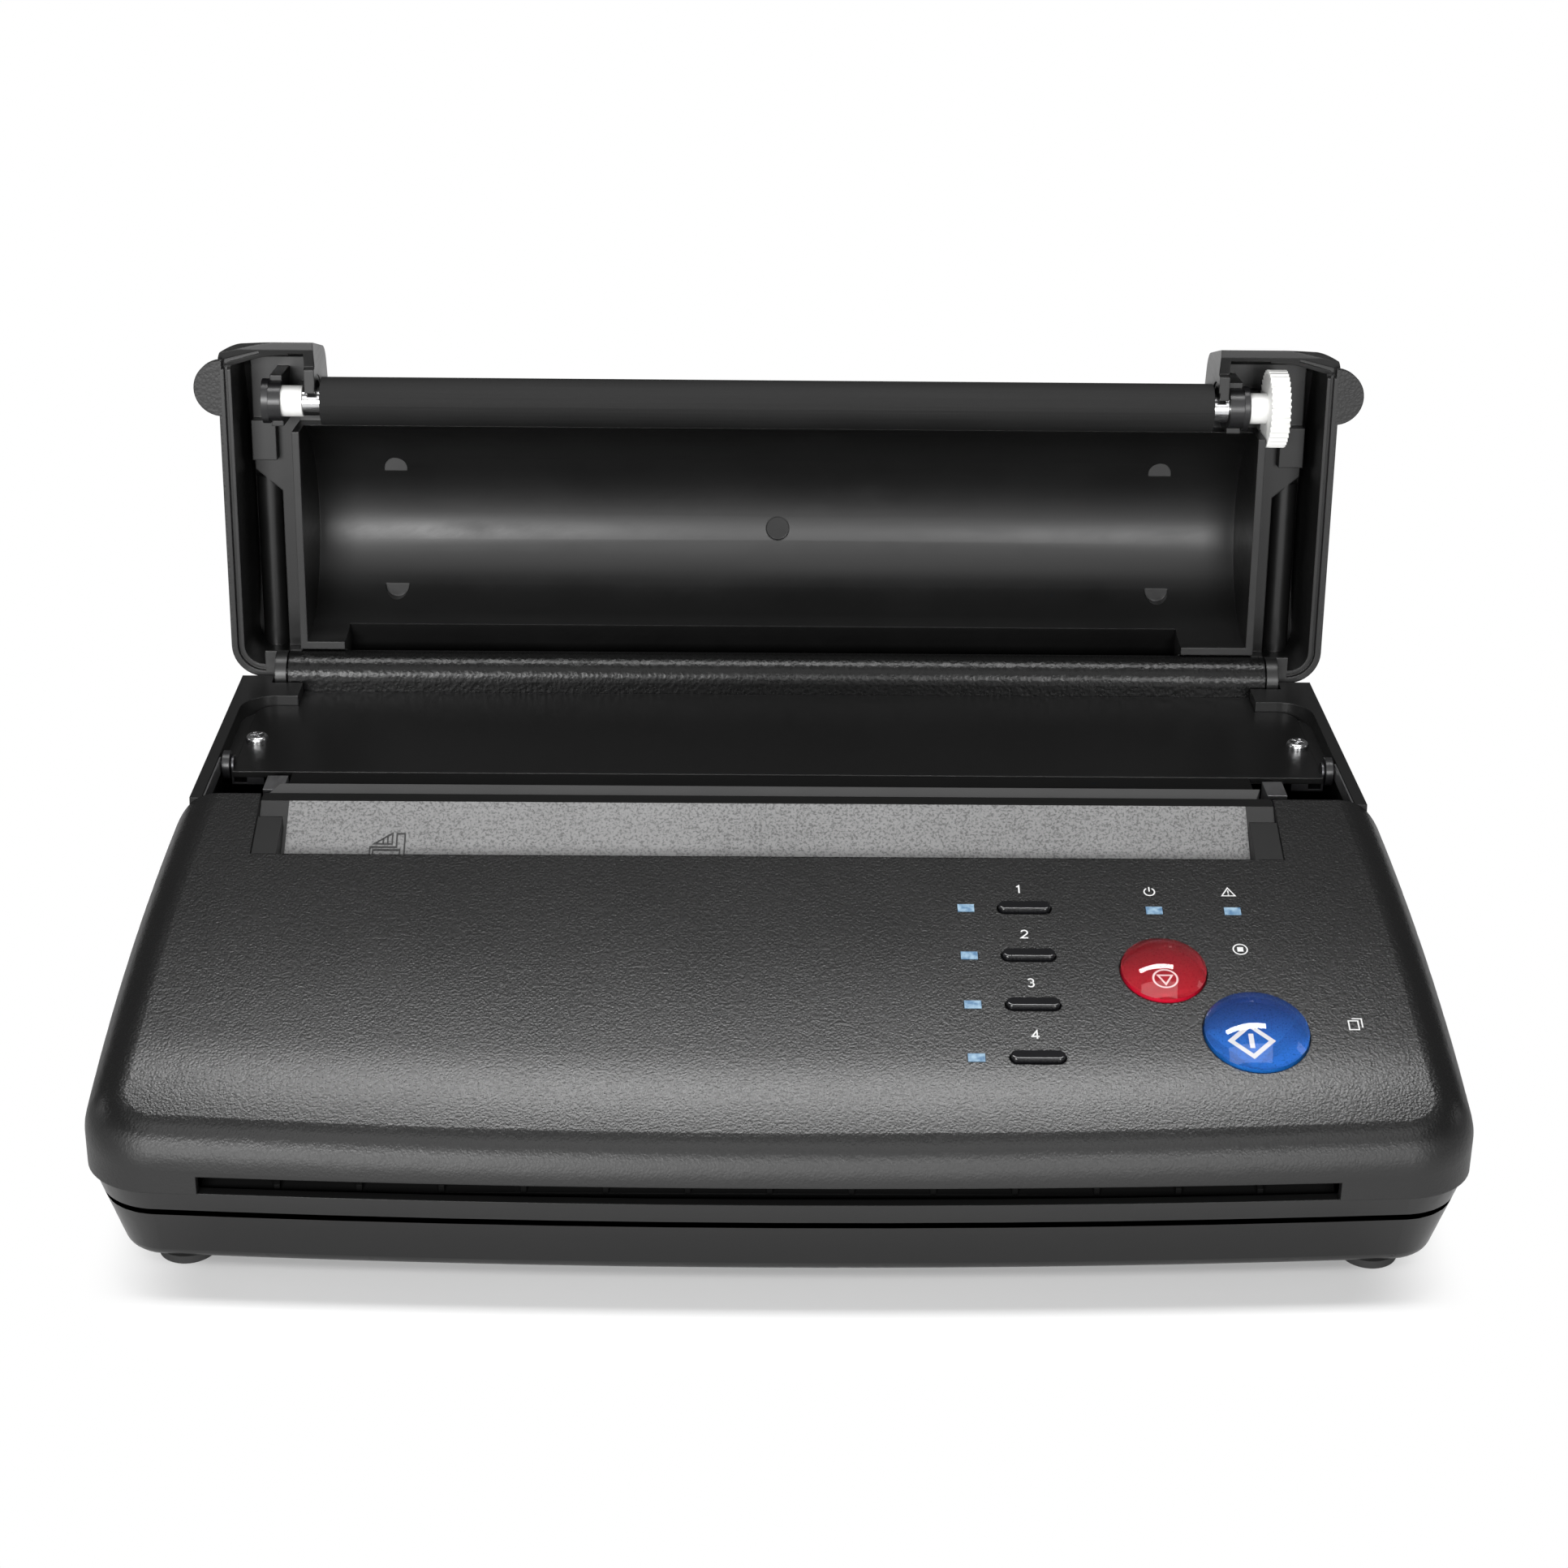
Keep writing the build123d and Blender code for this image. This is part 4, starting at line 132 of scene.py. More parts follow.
# %% The graph and its nodes
class Paint:
    """A material under construction."""

    def __init__(self, name):
        self.material = bpy.data.materials.new(name)
        self.material.use_nodes = True
        self.tree = self.material.node_tree
        self.tree.nodes.clear()
        self.place = self.node("TexCoord", {}, {}, output="Object")
        self.facing = self.node("TexCoord", {}, {}, output="Normal")

    def node(self, kind, settings, inputs, output=0, every=False):
        """Add a node: its type, then its settings, then its inputs."""
        made = self.tree.nodes.new("ShaderNode" + kind)
        for name, value in settings.items():
            setattr(made, name, value)
        for name, value in inputs.items():
            if isinstance(value, Wire):
                self.tree.links.new(value.socket, made.inputs[name])
            else:
                made.inputs[name].default_value = value
        if every:
            return [Wire(self, socket) for socket in made.outputs]
        return Wire(self, made.outputs[output]) if made.outputs else made

    def noise(self, scale, detail=2.0, roughness=0.5, where=None):
        """Cloudy noise from 0 to 1, with scale cells a metre."""
        inputs = {"Vector": where or self.place, "Scale": scale, "Detail": detail, "Roughness": roughness}
        return self.node("TexNoise", {}, inputs)

    def cells(self, scale, where=None):
        """Distance to the nearest of scattered points, with scale points a metre."""
        return self.node("TexVoronoi", {}, {"Vector": where or self.place, "Scale": scale})

    def bump(self, height, depth, under=None):
        """A surface relief of that depth in metres, over the normals under it."""
        inputs = {"Height": height, "Distance": depth}
        if under is not None:
            inputs["Normal"] = under
        return self.node("Bump", {}, inputs)

    def edges(self, radius):
        """Slightly rounded edges, as every moulded or cut piece has."""
        return self.node("Bevel", dict(samples=4), {"Radius": radius})

    def vector(self, x, y, z):
        return self.node("CombineXYZ", {}, {0: x, 1: y, 2: z})

    def sum(self, first, second):
        """Two vectors added."""
        return self.node("VectorMath", dict(operation="ADD"), {0: first, 1: second})

    def shader(self, **inputs):
        """The main shader; names are its inputs with spaces as underscores."""
        named = {name.replace("_", " "): value for name, value in inputs.items()}
        return self.node("BsdfPrincipled", {}, named)

    def darkened(self, lit, share):
        """The finished surface with painted shade: black where the share is 1."""
        black = self.node("BsdfDiffuse", {}, {"Color": (0.0, 0.0, 0.0, 1.0)})
        mixed = self.node("MixShader", {}, {0: share, 1: lit, 2: black})
        self.node("OutputMaterial", {}, {"Surface": mixed})
        return self.material

    def surface(self, **inputs):
        """The finished surface."""
        self.node("OutputMaterial", {}, {"Surface": self.shader(**inputs)})
        return self.material


def grey(level):
    """A neutral colour."""
    return (level, level, level, 1.0)


BLACK = grey(0.0)
print("shader classes:", Wire.__name__, Paint.__name__)

# %% [markdown]
# ## Moulded plastics
# The cover and the outside of the lid have a fine leather grain: small pebbles with soft valleys between
# them. A cell pattern gives the pebbles and a noise breaks them up. The relief is a few hundredths of a
# millimetre, so it shows mostly as a sparkle inside the highlights.

# %% Leather grain
hinge = next(joint for joint in frame["record"]["behaviour"]["joints"] if joint["name"] == "lid_hinge")
HINGE_Y, HINGE_Z = hinge["pos_m"][1], hinge["pos_m"][2]
GRAIN_WARP = 0.0006  # metres by which the pebbles are pushed out of round


def pebbles(paint, scale):
    """Height of a leather grain, from 0 to 1."""
    warp = paint.noise(scale * 0.7, 1.0)
    near = paint.cells(scale, paint.sum(paint.place, warp * GRAIN_WARP))
    fine = paint.noise(scale * 2.2, 2.0)
    return near * 0.9 + fine * 0.45


print("hinge at y, z:", HINGE_Y, HINGE_Z)

# %% [markdown]
# The panel of a moulded cover is never quite flat: it falls away a little towards its front edge. The
# surface could be bent, but then the keys and buttons would no longer lie in it. Leaning its normals does
# the same for the light and leaves the shape alone.

# %% Crown of the panel
FRONT_Y = -178.0  # the cover's front edge at the middle, in millimetres from the hinge
FRONT_BOW = 5.1  # how far that edge lies farther back at the corners
HALF = 0.136  # half the cover's width, in metres
EDGE_LEAN, PANEL_LEAN = 0.17, 0.03


def crown(paint, normal):
    """The panel's normals, leaned forward a little before its front edge, so that the edge looks full."""
    x, y, z = paint.place.parts()
    ahead = HINGE_Y + (FRONT_Y + (x / HALF) * (x / HALF) * FRONT_BOW) / 1000
    back = (y - ahead) * 1000
    lean = (back.ramp(30.0, 5.0) * back.ramp(-2.0, 4.0)) * EDGE_LEAN + back.ramp(72.0, 22.0) * PANEL_LEAN
    top = paint.facing.parts()[2].ramp(0.2, 0.6)
    forward = paint.vector(0.0, lean * top * -1.0, 0.0)
    return paint.node("VectorMath", dict(operation="NORMALIZE"), {0: paint.sum(normal, forward)})


print("front edge at y:", HINGE_Y + FRONT_Y / 1000)

# %% [markdown]
# One function makes the grained plastic at any tone and coarseness. The cover's front face, below the edge,
# is a little duller than the panel, so a steep facing adds roughness there.

# %% Grained plastic
FRONT_DULLNESS = 0.22


def grained(name, level, roughness, depth, scale=1250.0, specular=0.5, crowned=False):
    """Matt plastic with a leather grain."""
    paint = Paint(name)
    grain = pebbles(paint, scale)
    wear = paint.noise(38.0, 4.0)
    shade = (wear * 0.35 + grain * 0.25 + 0.7).blend(BLACK, grey(level))
    rough = wear * 0.04 + grain * 0.06 + (roughness - 0.05)
    under = paint.edges(0.0004)
    if crowned:
        rough = rough + paint.facing.parts()[2].ramp(0.82, 0.45) * FRONT_DULLNESS
        under = crown(paint, under)
    normal = paint.bump(grain, depth, under)
    return paint.surface(Base_Color=shade, Roughness=rough, Normal=normal, Specular_IOR_Level=specular)


# %% [markdown]
# The lower case and the guides are smooth. Where the cover sits on the case there is a narrow shadow line.
# A groove that thin would need many faces, so the material turns black in that band.

# %% Satin plastic
SEAM = (-0.0012, 0.0004)  # bottom and top of the shadow line, from the cover's lower edge


def satin(name, level, roughness, texture=0.000006, seam=False, specular=0.4):
    """Smooth moulded plastic with the faintest texture; it may carry a painted shadow line under a seam."""
    paint = Paint(name)
    cloud = paint.noise(60.0, 5.0, 0.6)
    fine = paint.noise(2600.0, 2.0)
    shade = (cloud * 0.3 + 0.85).blend(BLACK, grey(level))
    rough = cloud * 0.12 + (roughness - 0.06)
    normal = paint.bump(fine, texture, paint.edges(0.0003))
    looks = dict(Base_Color=shade, Roughness=rough, Normal=normal, Specular_IOR_Level=specular)
    if not seam:
        return paint.surface(**looks)
    # Painted shadow: a thin band under the cover's lower edge is mixed to black.
    height = paint.place.parts()[2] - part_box("front_cover")[0][2]
    shadow = (height > SEAM[0]) * (height < SEAM[1])
    return paint.darkened(paint.shader(**looks), shadow)


# %% [markdown]
# ## The lid: grained outside, polished inside
# One piece carries both finishes, so the material decides by place. It turns each point back to the closed
# lid's own axes and asks whether the point lies on the outer skin. Inside, the plastic is smoother and
# shows slanting scuffs from rolls of paper. Over the paper inlet it is painted dark, a painted shade for
# the deep slot.

# %% Lid
OPEN = math.radians(hinge["range_deg"][1])
END_X = 0.1356  # beyond this, on either side, lie the lid's outer ends
FRONT_LIP = -0.079  # the lid's front edge, from the hinge
SLOT_UP, SLOT_HALF, SLOT_BACK = (0.003, 0.016), 0.112, -0.03  # the paper inlet in the lid's floor
SLOT_SHADE = 0.85


def lid_material():
    """Grain on the lid's outer skin, scuffed gloss in its hollow, and painted shade over the paper inlet."""
    paint = Paint("lid plastic")
    x, y, z = paint.place.parts()
    nx, ny, nz = paint.facing.parts()
    back = (y - HINGE_Y) * math.cos(OPEN) - (z - HINGE_Z) * math.sin(OPEN)
    up = (y - HINGE_Y) * math.sin(OPEN) + (z - HINGE_Z) * math.cos(OPEN)
    normal_back = ny * math.cos(OPEN) - nz * math.sin(OPEN)
    normal_up = ny * math.sin(OPEN) + nz * math.cos(OPEN)
    outer = (normal_up > 0.05).max(x.abs() > END_X)
    outer = outer.max((normal_back > 0.3) * (back > 0.0006))
    outer = outer.max((normal_back < -0.3) * (back < FRONT_LIP))
    grain = pebbles(paint, 1250.0)
    cloud = paint.noise(30.0, 5.0, 0.62)
    slant = paint.node("VectorRotate", dict(rotation_type="Y_AXIS"), {"Vector": paint.place, "Angle": 0.62})
    scratch = paint.noise(1.0, 4.0, 0.75, slant.stretch(260.0, 40.0, 2600.0))
    scuff = paint.noise(1.0, 3.0, 0.6, paint.place.stretch(22.0, 60.0, 70.0))
    rub = scuff.ramp(0.52, 0.78)
    inside_rough = cloud * 0.22 + scratch * 0.12 + rub * 0.10 + 0.20
    outside_rough = grain * 0.10 + cloud * 0.08 + 0.40
    rough = outer * outside_rough + (1.0 - outer) * inside_rough
    inside_height = scratch * 0.4 + paint.noise(900.0, 2.0) * 0.25
    height = outer * grain + (1.0 - outer) * (inside_height * 0.16)
    shade = (cloud * 0.4 + 0.7).blend(BLACK, grey(0.006))
    normal = paint.bump(height, 0.00007, paint.edges(0.0004))
    lit = paint.shader(Base_Color=shade, Roughness=rough, Normal=normal)
    # Painted shade: the floor of the paper inlet is mixed toward black, for the shade deep in the slot.
    slot = (normal_up < -0.8) * (up > SLOT_UP[0]) * (up < SLOT_UP[1])
    slot = slot * (x.abs() < SLOT_HALF) * (back > SLOT_BACK)
    return paint.darkened(lit, slot * SLOT_SHADE)


print("lid opens by degrees:", math.degrees(OPEN))

# %% [markdown]
# ## The face of the feed recess
# This face catches the light from above and has a coarse spark-eroded texture. Its colour is set by which
# way
# a face looks: up and forward it is lighter grey, partly its own tone and partly painted light, and
# elsewhere, the guide blocks at its ends included, it is smooth and near black, partly its own tone and
# partly painted shade.

# %% Feed recess
GUIDE_WIDTH = 0.0064
WELD_X, WELD_HALF = -0.0043, 0.0003  # the faint line where the plastic met in the mould


def tray_material():
    """A speckled grey face between smooth dark guides, its tone set partly by painted light and shade."""
    paint = Paint("recess plastic")
    x, y, z = paint.place.parts()
    nx, ny, nz = paint.facing.parts()
    face = (ny < -0.4) * (nz > 0.5)
    low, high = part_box("document_tray")
    face = face * ((x - low[0]) > GUIDE_WIDTH) * ((high[0] - x) > GUIDE_WIDTH)
    speck = paint.noise(1700.0, 3.0, 0.7)
    dots = speck.ramp(0.36, 0.56)
    coarse = paint.noise(420.0, 4.0, 0.65)
    cloud = paint.noise(25.0, 4.0)
    weld = 1.0 - ((x - WELD_X).abs() < WELD_HALF) * 0.12
    # Painted light and shade: faces that look up and forward get the lighter grey, all others near black.
    level = face * (dots * 0.55 + coarse * 0.2 + cloud * 0.4 + 0.12) * weld
    shade = level.blend(grey(0.003), grey(0.20))
    rough = face * 0.12 + 0.42 + speck * 0.1
    height = face * (speck + coarse * 0.6) + (1.0 - face) * speck * 0.15
    normal = paint.bump(height, 0.00009, paint.edges(0.0003))
    return paint.surface(Base_Color=shade, Roughness=rough, Normal=normal, Specular_IOR_Level=0.35)


# %% [markdown]
# ## Rubber
# The roller's rubber was ground to size, which leaves fine rings and a faint bloom. Noise that is squeezed
# along the roller gives the rings, and noise drawn out along it gives the streaks that paper leaves.

# %% Rubber
def rubber(name, level, roughness):
    """Ground rubber, with rings and streaks along x."""
    paint = Paint(name)
    rings = paint.noise(1.0, 3.0, 0.7, paint.place.stretch(2600.0, 90.0, 90.0))
    streak = paint.noise(1.0, 4.0, 0.7, paint.place.stretch(16.0, 1500.0, 1500.0))
    cloud = paint.noise(45.0, 4.0)
    shade = (streak * 0.6 + cloud * 0.6 + 0.2).blend(grey(level * 0.4), grey(level * 1.5))
    rough = streak * 0.25 + cloud * 0.1 + (roughness - 0.15)
    normal = paint.bump(rings * 0.4 + streak * 0.8, 0.00010, paint.edges(0.0002))
    return paint.surface(Base_Color=shade, Roughness=rough, Normal=normal, Specular_IOR_Level=0.3)


# %% [markdown]
# ## Metals
# Steel pieces are turned or rolled, so their reflections are drawn out along one direction. The same
# stretched noise moves both the roughness and a relief of a few thousandths of a millimetre. Sheet metal
# that is painted has no such lines, only the faint orange peel of the paint and some dust.

# %% Metals
def metal(name, color, roughness, along=(1.0, 1.0, 1.0)):
    """Bare metal, its marks drawn out along the axes by the given factors."""
    paint = Paint(name)
    lines = paint.noise(1.0, 3.0, 0.7, paint.place.stretch(*(1800.0 / factor for factor in along)))
    cloud = paint.noise(120.0, 4.0)
    shade = (lines * 0.3 + cloud * 0.2 + 0.6).blend(BLACK, (*color, 1.0))
    rough = lines * 0.14 + cloud * 0.08 + (roughness - 0.1)
    normal = paint.bump(lines, 0.000004, paint.edges(0.00015))
    return paint.surface(Base_Color=shade, Metallic=1.0, Roughness=rough, Normal=normal)


def painted(name, level, roughness):
    """Sheet steel under a thin even paint."""
    paint = Paint(name)
    peel = paint.noise(420.0, 2.0)
    cloud = paint.noise(24.0, 5.0, 0.6)
    dust = paint.cells(190.0).ramp(0.05, 0.0)
    shade = (cloud * 0.4 + 0.6).blend(grey(level * 0.7), grey(level * 1.2))
    rough = cloud * 0.14 + (roughness - 0.07) + dust * 0.2
    normal = paint.bump(peel, 0.000008, paint.edges(0.0003))
    return paint.surface(Base_Color=shade, Roughness=rough, Normal=normal)


# %% [markdown]
# ## Small pieces
# Gears, bushes, inks and keys are even plastics. A little noise in the gloss keeps them from looking
# computed. The domes over the two large buttons could bend light as real plastic does, but then the signs
# under them would swim. A low index of refraction keeps the signs in place, and a coat gives the sharp
# reflections.

# %% Even and clear plastics
def plain(name, color, roughness, **more):
    """An even material with a little variation in its gloss."""
    paint = Paint(name)
    cloud = paint.noise(90.0, 4.0)
    rough = cloud * 0.1 + max(roughness - 0.05, 0.0)
    shade = (cloud * 0.2 + 0.8).blend(tuple(0.85 * c for c in color) + (1.0,), (*color, 1.0))
    return paint.surface(Base_Color=shade, Roughness=rough, Normal=paint.edges(0.00025), **more)


def clear(name, color, ior=1.47, gloss=0.0):
    """Clear moulded plastic."""
    paint = Paint(name)
    cloud = paint.noise(60.0, 2.0)
    looks = dict(Base_Color=(*color, 1.0), Roughness=cloud * 0.02, IOR=ior, Transmission_Weight=1.0)
    return paint.surface(**looks, Coat_Weight=gloss, Coat_IOR=1.6, Coat_Roughness=0.02)


# %% [markdown]
# The boards, the indicator windows and the pads are seen small or only with the cover off, so each gets one
# simple pattern: bricks for tracks, a cloudy blue with a faint painted glow, and fibres.

# %% Boards, windows and pads
def board(name):
    """A circuit board: green lacquer with copper tracks showing through."""
    paint = Paint(name)
    layout = {"Vector": paint.place, "Scale": 160.0, "Mortar Size": 0.06}
    tracks = paint.node("TexBrick", {}, layout, output=1)
    shade = tracks.blend((0.02, 0.13, 0.05, 1.0), (0.05, 0.26, 0.10, 1.0))
    return paint.surface(Base_Color=shade, Roughness=0.35)


def blue_with_painted_glow():
    """A pale blue light guide with a faint painted glow from its emission."""
    paint = Paint("indicator")
    cloud = paint.noise(700.0, 3.0)
    shade = cloud.ramp(0.3, 0.7).blend((0.05, 0.13, 0.24, 1.0), (0.26, 0.38, 0.48, 1.0))
    looks = dict(Base_Color=shade, Roughness=0.3, Coat_Weight=0.5)
    # Painted glow: a faint emission in the window's own colour.
    return paint.surface(**looks, Emission_Color=shade, Emission_Strength=0.1)


def felt(name):
    """Grey felt: fine fibres and no gloss."""
    paint = Paint(name)
    fibre = paint.noise(3000.0, 4.0, 0.8)
    shade = fibre.blend(grey(0.03), grey(0.14))
    return paint.surface(Base_Color=shade, Roughness=0.95, Normal=paint.bump(fibre, 0.0001))


# %% [markdown]
# A cap under a dome catches less light at its back, where the panel's slope and the dome's rim shade it.
# That shade is painted into the colour, which goes from a deep tone behind to a bright one in front, with
# fine flakes in it.

# %% Button caps
STOP_Y, COPY_Y = -128.1, -144.9  # the buttons' middles, in millimetres from the hinge
CAP_REACH = 0.009  # the colour changes over this much on either side of the middle, in metres


def cap(name, behind, ahead, middle, metallic=0.0):
    """A round button's cap under its clear dome: painted shade darkens its back, and it has fine flakes."""
    paint = Paint(name)
    # Painted shade and light: the colour runs from the darker back to the brighter front.
    near = (paint.place.parts()[1] - HINGE_Y - middle / 1000).ramp(CAP_REACH, -CAP_REACH)
    flakes = paint.noise(2500.0, 2.0, 0.8)
    shade = (near * 0.8 + flakes * 0.5 - 0.15).blend((*behind, 1.0), (*ahead, 1.0))
    return paint.surface(Base_Color=shade, Roughness=flakes * 0.2 + 0.2, Metallic=metallic)


# %% [markdown]
# ## Every piece gets its finish
# The record names a material for each piece. A dictionary from those names to the finishes above is enough
# to dress all of them in one loop. Two pieces differ: the lid has its two-sided finish, and the exit chute
# is as dark and dull as the guides. That dark colour is a painted shade for the deep slot, and a gloss there
# would look like a light.

# %% Table of finishes
MILKY = dict(Subsurface_Weight=0.15, Subsurface_Radius=(0.002, 0.002, 0.002), Subsurface_Scale=1.0)
finishes = {
    "cover_black": grained("cover plastic", 0.007, 0.26, 0.00004, scale=1700.0, crowned=True),
    "case_grey": satin("case plastic", 0.009, 0.34, texture=0.00001, seam=True),
    "hinge_black": grained("hinge plastic", 0.003, 0.27, 0.00006, scale=1000.0, specular=0.25),
    "tray_grey": tray_material(),
    "guide_black": satin("guide plastic", 0.003, 0.6, specular=0.12),
    "deck_black": painted("deck paint", 0.003, 0.34),
    "felt": felt("felt"),
    "head_ceramic": satin("head coating", 0.07, 0.5, texture=0.00004),
    "sink_aluminium": metal("aluminium", (0.75, 0.75, 0.77), 0.4, (8.0, 1.0, 1.0)),
    "sheet_steel": metal("sheet steel", (0.55, 0.55, 0.56), 0.34, (1.0, 6.0, 1.0)),
    "bright_steel": metal("polished steel", (0.82, 0.82, 0.83), 0.16, (1.0, 8.0, 8.0)),
    "screw_steel": metal("screw steel", (0.74, 0.74, 0.75), 0.24),
    "spring_steel": metal("spring steel", (0.10, 0.10, 0.105), 0.4),
    "roller_rubber": rubber("roller rubber", 0.007, 0.72),
    "foot_rubber": rubber("foot rubber", 0.02, 0.8),
    "nylon_white": plain("white nylon", (0.86, 0.86, 0.84), 0.42, **MILKY),
    "acetal_dark": plain("dark acetal", (0.012, 0.012, 0.013), 0.35),
    "motor_metal": painted("motor can", 0.12, 0.4),
    "supply_black": painted("lacquer", 0.02, 0.5),
    "board_green": board("circuit board"),
    "scanner_clear": clear("scanner glass", (0.9, 0.97, 0.95), 1.52),
    "indicator_blue": blue_with_painted_glow(),
    "key_gloss": plain("key gloss", (0.006, 0.006, 0.007), 0.12, Coat_Weight=0.6, Coat_Roughness=0.05),
    "button_red": cap("red", (0.16, 0.0, 0.005), (0.62, 0.006, 0.03), STOP_Y),
    "button_blue": cap("metallic blue", (0.008, 0.035, 0.20), (0.02, 0.22, 0.78), COPY_Y, 0.5),
    "dome_red": clear("red dome", (1.0, 0.75, 0.78), 1.02, 1.0),
    "dome_clear": clear("clear dome", (0.92, 0.96, 1.0), 1.02, 1.0),
}
# Painted shade: the exit chute takes the dark guide finish, for the shade deep in the slot.
special = {"lid_shell": lid_material(), "exit_guide": finishes["guide_black"]}
print("finishes:", len(finishes))

# %% Dress the pieces
for part in frame["record"]["subparts"]:
    name = part["node"]
    slots = nodes[name].data.materials
    slots.clear()
    slots.append(special.get(name) or finishes[part["material_slot"]])

# %% [markdown]
# ## Marks on the panel
# Every key has a plain number, every lamp and button a simple sign. A mark is a flat mesh that lies a few
# hundredths of a millimetre above the surface, made of ribbons along a path. A picture could be laid on the
# panel instead, but a mesh stays sharp at any size. The panel is a sloping plane, so it gets a frame of its
# own: `u` runs to the right and `v` up the slope.

# %% A page to draw on
class Page:
    """A plane to draw on: marks are given in millimetres from its origin."""

    def __init__(self, origin, right, up, lift):
        self.right = Vector(right).normalized()
        self.up = Vector(up).normalized()
        self.origin = Vector(origin) + self.right.cross(self.up) * lift

    def at(self, u, v):
        return self.origin + self.right * (u / 1000) + self.up * (v / 1000)


print("page of the floor at 10, 10:", Page((0, 0, 0), (1, 0, 0), (0, 1, 0), 0).at(10, 10)[:])

# %% [markdown]
# A stroke is a path of points. The ribbon follows it at half its width on either side, and each corner is
# mitred: the side point moves out along the line that halves the corner, far enough to keep the width.

# %% Ribbons
SHARPEST = 0.35  # limits how far a mitre reaches at a very sharp corner


def ribbon(points, width, closed):
    """Corners of a ribbon with mitred bends along (u, v) points: two rows, left and right."""
    count = len(points)
    left, right = [], []
    for index, (u, v) in enumerate(points):
        before = points[index - 1] if closed or index else points[index]
        after = points[(index + 1) % count] if closed or index < count - 1 else points[index]
        first = Vector((u - before[0], v - before[1]))
        second = Vector((after[0] - u, after[1] - v))
        first = first.normalized() if first.length else second.normalized()
        second = second.normalized() if second.length else first
        miter = (first + second).normalized()
        side = Vector((-miter.y, miter.x)) * (width / 2 / max(miter.dot(first), SHARPEST))
        left.append((u + side.x, v + side.y))
        right.append((u - side.x, v - side.y))
    return left, right


# %% Marks
def mark(name, page, strokes, width, finish, body, thickness=0.0):
    """A mesh of ribbons. A stroke is (points, closed), or (points, None) for a filled shape."""
    corners, faces = [], []
    for points, closed in strokes:
        start = len(corners)
        if closed is None:
            corners += [page.at(u, v) for u, v in points]
            faces.append(list(range(start, start + len(points))))
            continue
        left, right = ribbon(points, width, closed)
        corners += [page.at(u, v) for u, v in left + right]
        count = len(points)
        for index in range(count if closed else count - 1):
            after = (index + 1) % count
            faces.append((start + index, start + after, start + count + after, start + count + index))
    mesh = bpy.data.meshes.new(name)
    mesh.from_pydata(corners, [], faces)
    piece = bpy.data.objects.new(name, mesh)
    bpy.context.collection.objects.link(piece)
    mesh.materials.append(finish)
    if thickness:
        solid = piece.modifiers.new("thickness", "SOLIDIFY")
        solid.thickness = thickness
        solid.offset = 0.0
    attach(piece, body)
    print(name, "faces:", len(faces))


# %% Arcs, circles and digits
def arc(cx, cy, radius, start, end, steps):
    """Points along an arc, in degrees."""
    angles = [math.radians(start + (end - start) * step / steps) for step in range(steps + 1)]
    return [(cx + radius * math.cos(a), cy + radius * math.sin(a)) for a in angles]


def circle(cx, cy, radius, steps=48):
    return arc(cx, cy, radius, 0, 360 * (steps - 1) / steps, steps - 1)


DIGITS = {
    "1": [([(-0.45, 0.75), (0.1, 1.2), (0.1, -1.2)], False)],
    "2": [(arc(0, 0.5, 0.7, 165, -35, 14) + [(-0.75, -1.2), (0.8, -1.2)], False)],
    "3": [(arc(0, 0.58, 0.62, 150, -80, 12) + arc(0, -0.55, 0.68, 80, -150, 12), False)],
    "4": [([(0.35, -1.2), (0.35, 1.2), (-0.75, -0.5), (0.85, -0.5)], False)],
}


def scaled(strokes, size):
    """The same strokes at another size."""
    return [([(u * size, v * size) for u, v in points], closed) for points, closed in strokes]


print("digits:", len(DIGITS))

# %% [markdown]
# The panel starts behind, near the hinge, and falls towards the front at a steady slope. So the height of
# any place on it follows from its distance to the panel's back edge.

# %% Panel frame
SLOPE = math.radians(18.86)
PANEL_BACK, PANEL_TOP = 0.0787, HINGE_Z + 0.0003  # the back edge's distance from the hinge, and its height
RIGHT = (1.0, 0.0, 0.0)


def panel_page(x, y, lift=0.00003):
    """A page on the panel with its origin above the place (x, y), given in millimetres from the hinge."""
    rise = (y / 1000 + PANEL_BACK) * math.tan(SLOPE)
    up = (0.0, math.cos(SLOPE), math.sin(SLOPE))
    return Page((x / 1000, y / 1000 + HINGE_Y, PANEL_TOP + rise), RIGHT, up, lift)


print("panel's back edge at z:", PANEL_TOP)

# %% [markdown]
# The four keys are numbered. The lamps get a power sign and a warning sign, and the two round buttons a
# stop sign and two sheets of paper.

# %% Keys and lamps
ink = plain("white ink", (0.62, 0.62, 0.62), 0.5)
LABELS = {"1": (52.2, -104.9), "2": (52.6, -117.9), "3": (53.0, -131.6), "4": (53.0, -145.7)}
for digit, (x, y) in LABELS.items():
    mark("label_" + digit, panel_page(x, y), scaled(DIGITS[digit], 0.95), 0.34, ink, "base")
power = [(arc(0, 0, 1.15, 120, 420, 28), False), ([(0, 0.1), (0, 1.5)], False)]
mark("label_power", panel_page(80.9, -105.4), power, 0.3, ink, "base")
warning = [
    ([(-1.45, -1.0), (1.45, -1.0), (0, 1.45)], True),
    ([(0, 0.7), (0, -0.2)], False),
    (circle(0, -0.6, 0.17, 10), None),
]
mark("label_warning", panel_page(98.2, -105.5), warning, 0.28, ink, "base")

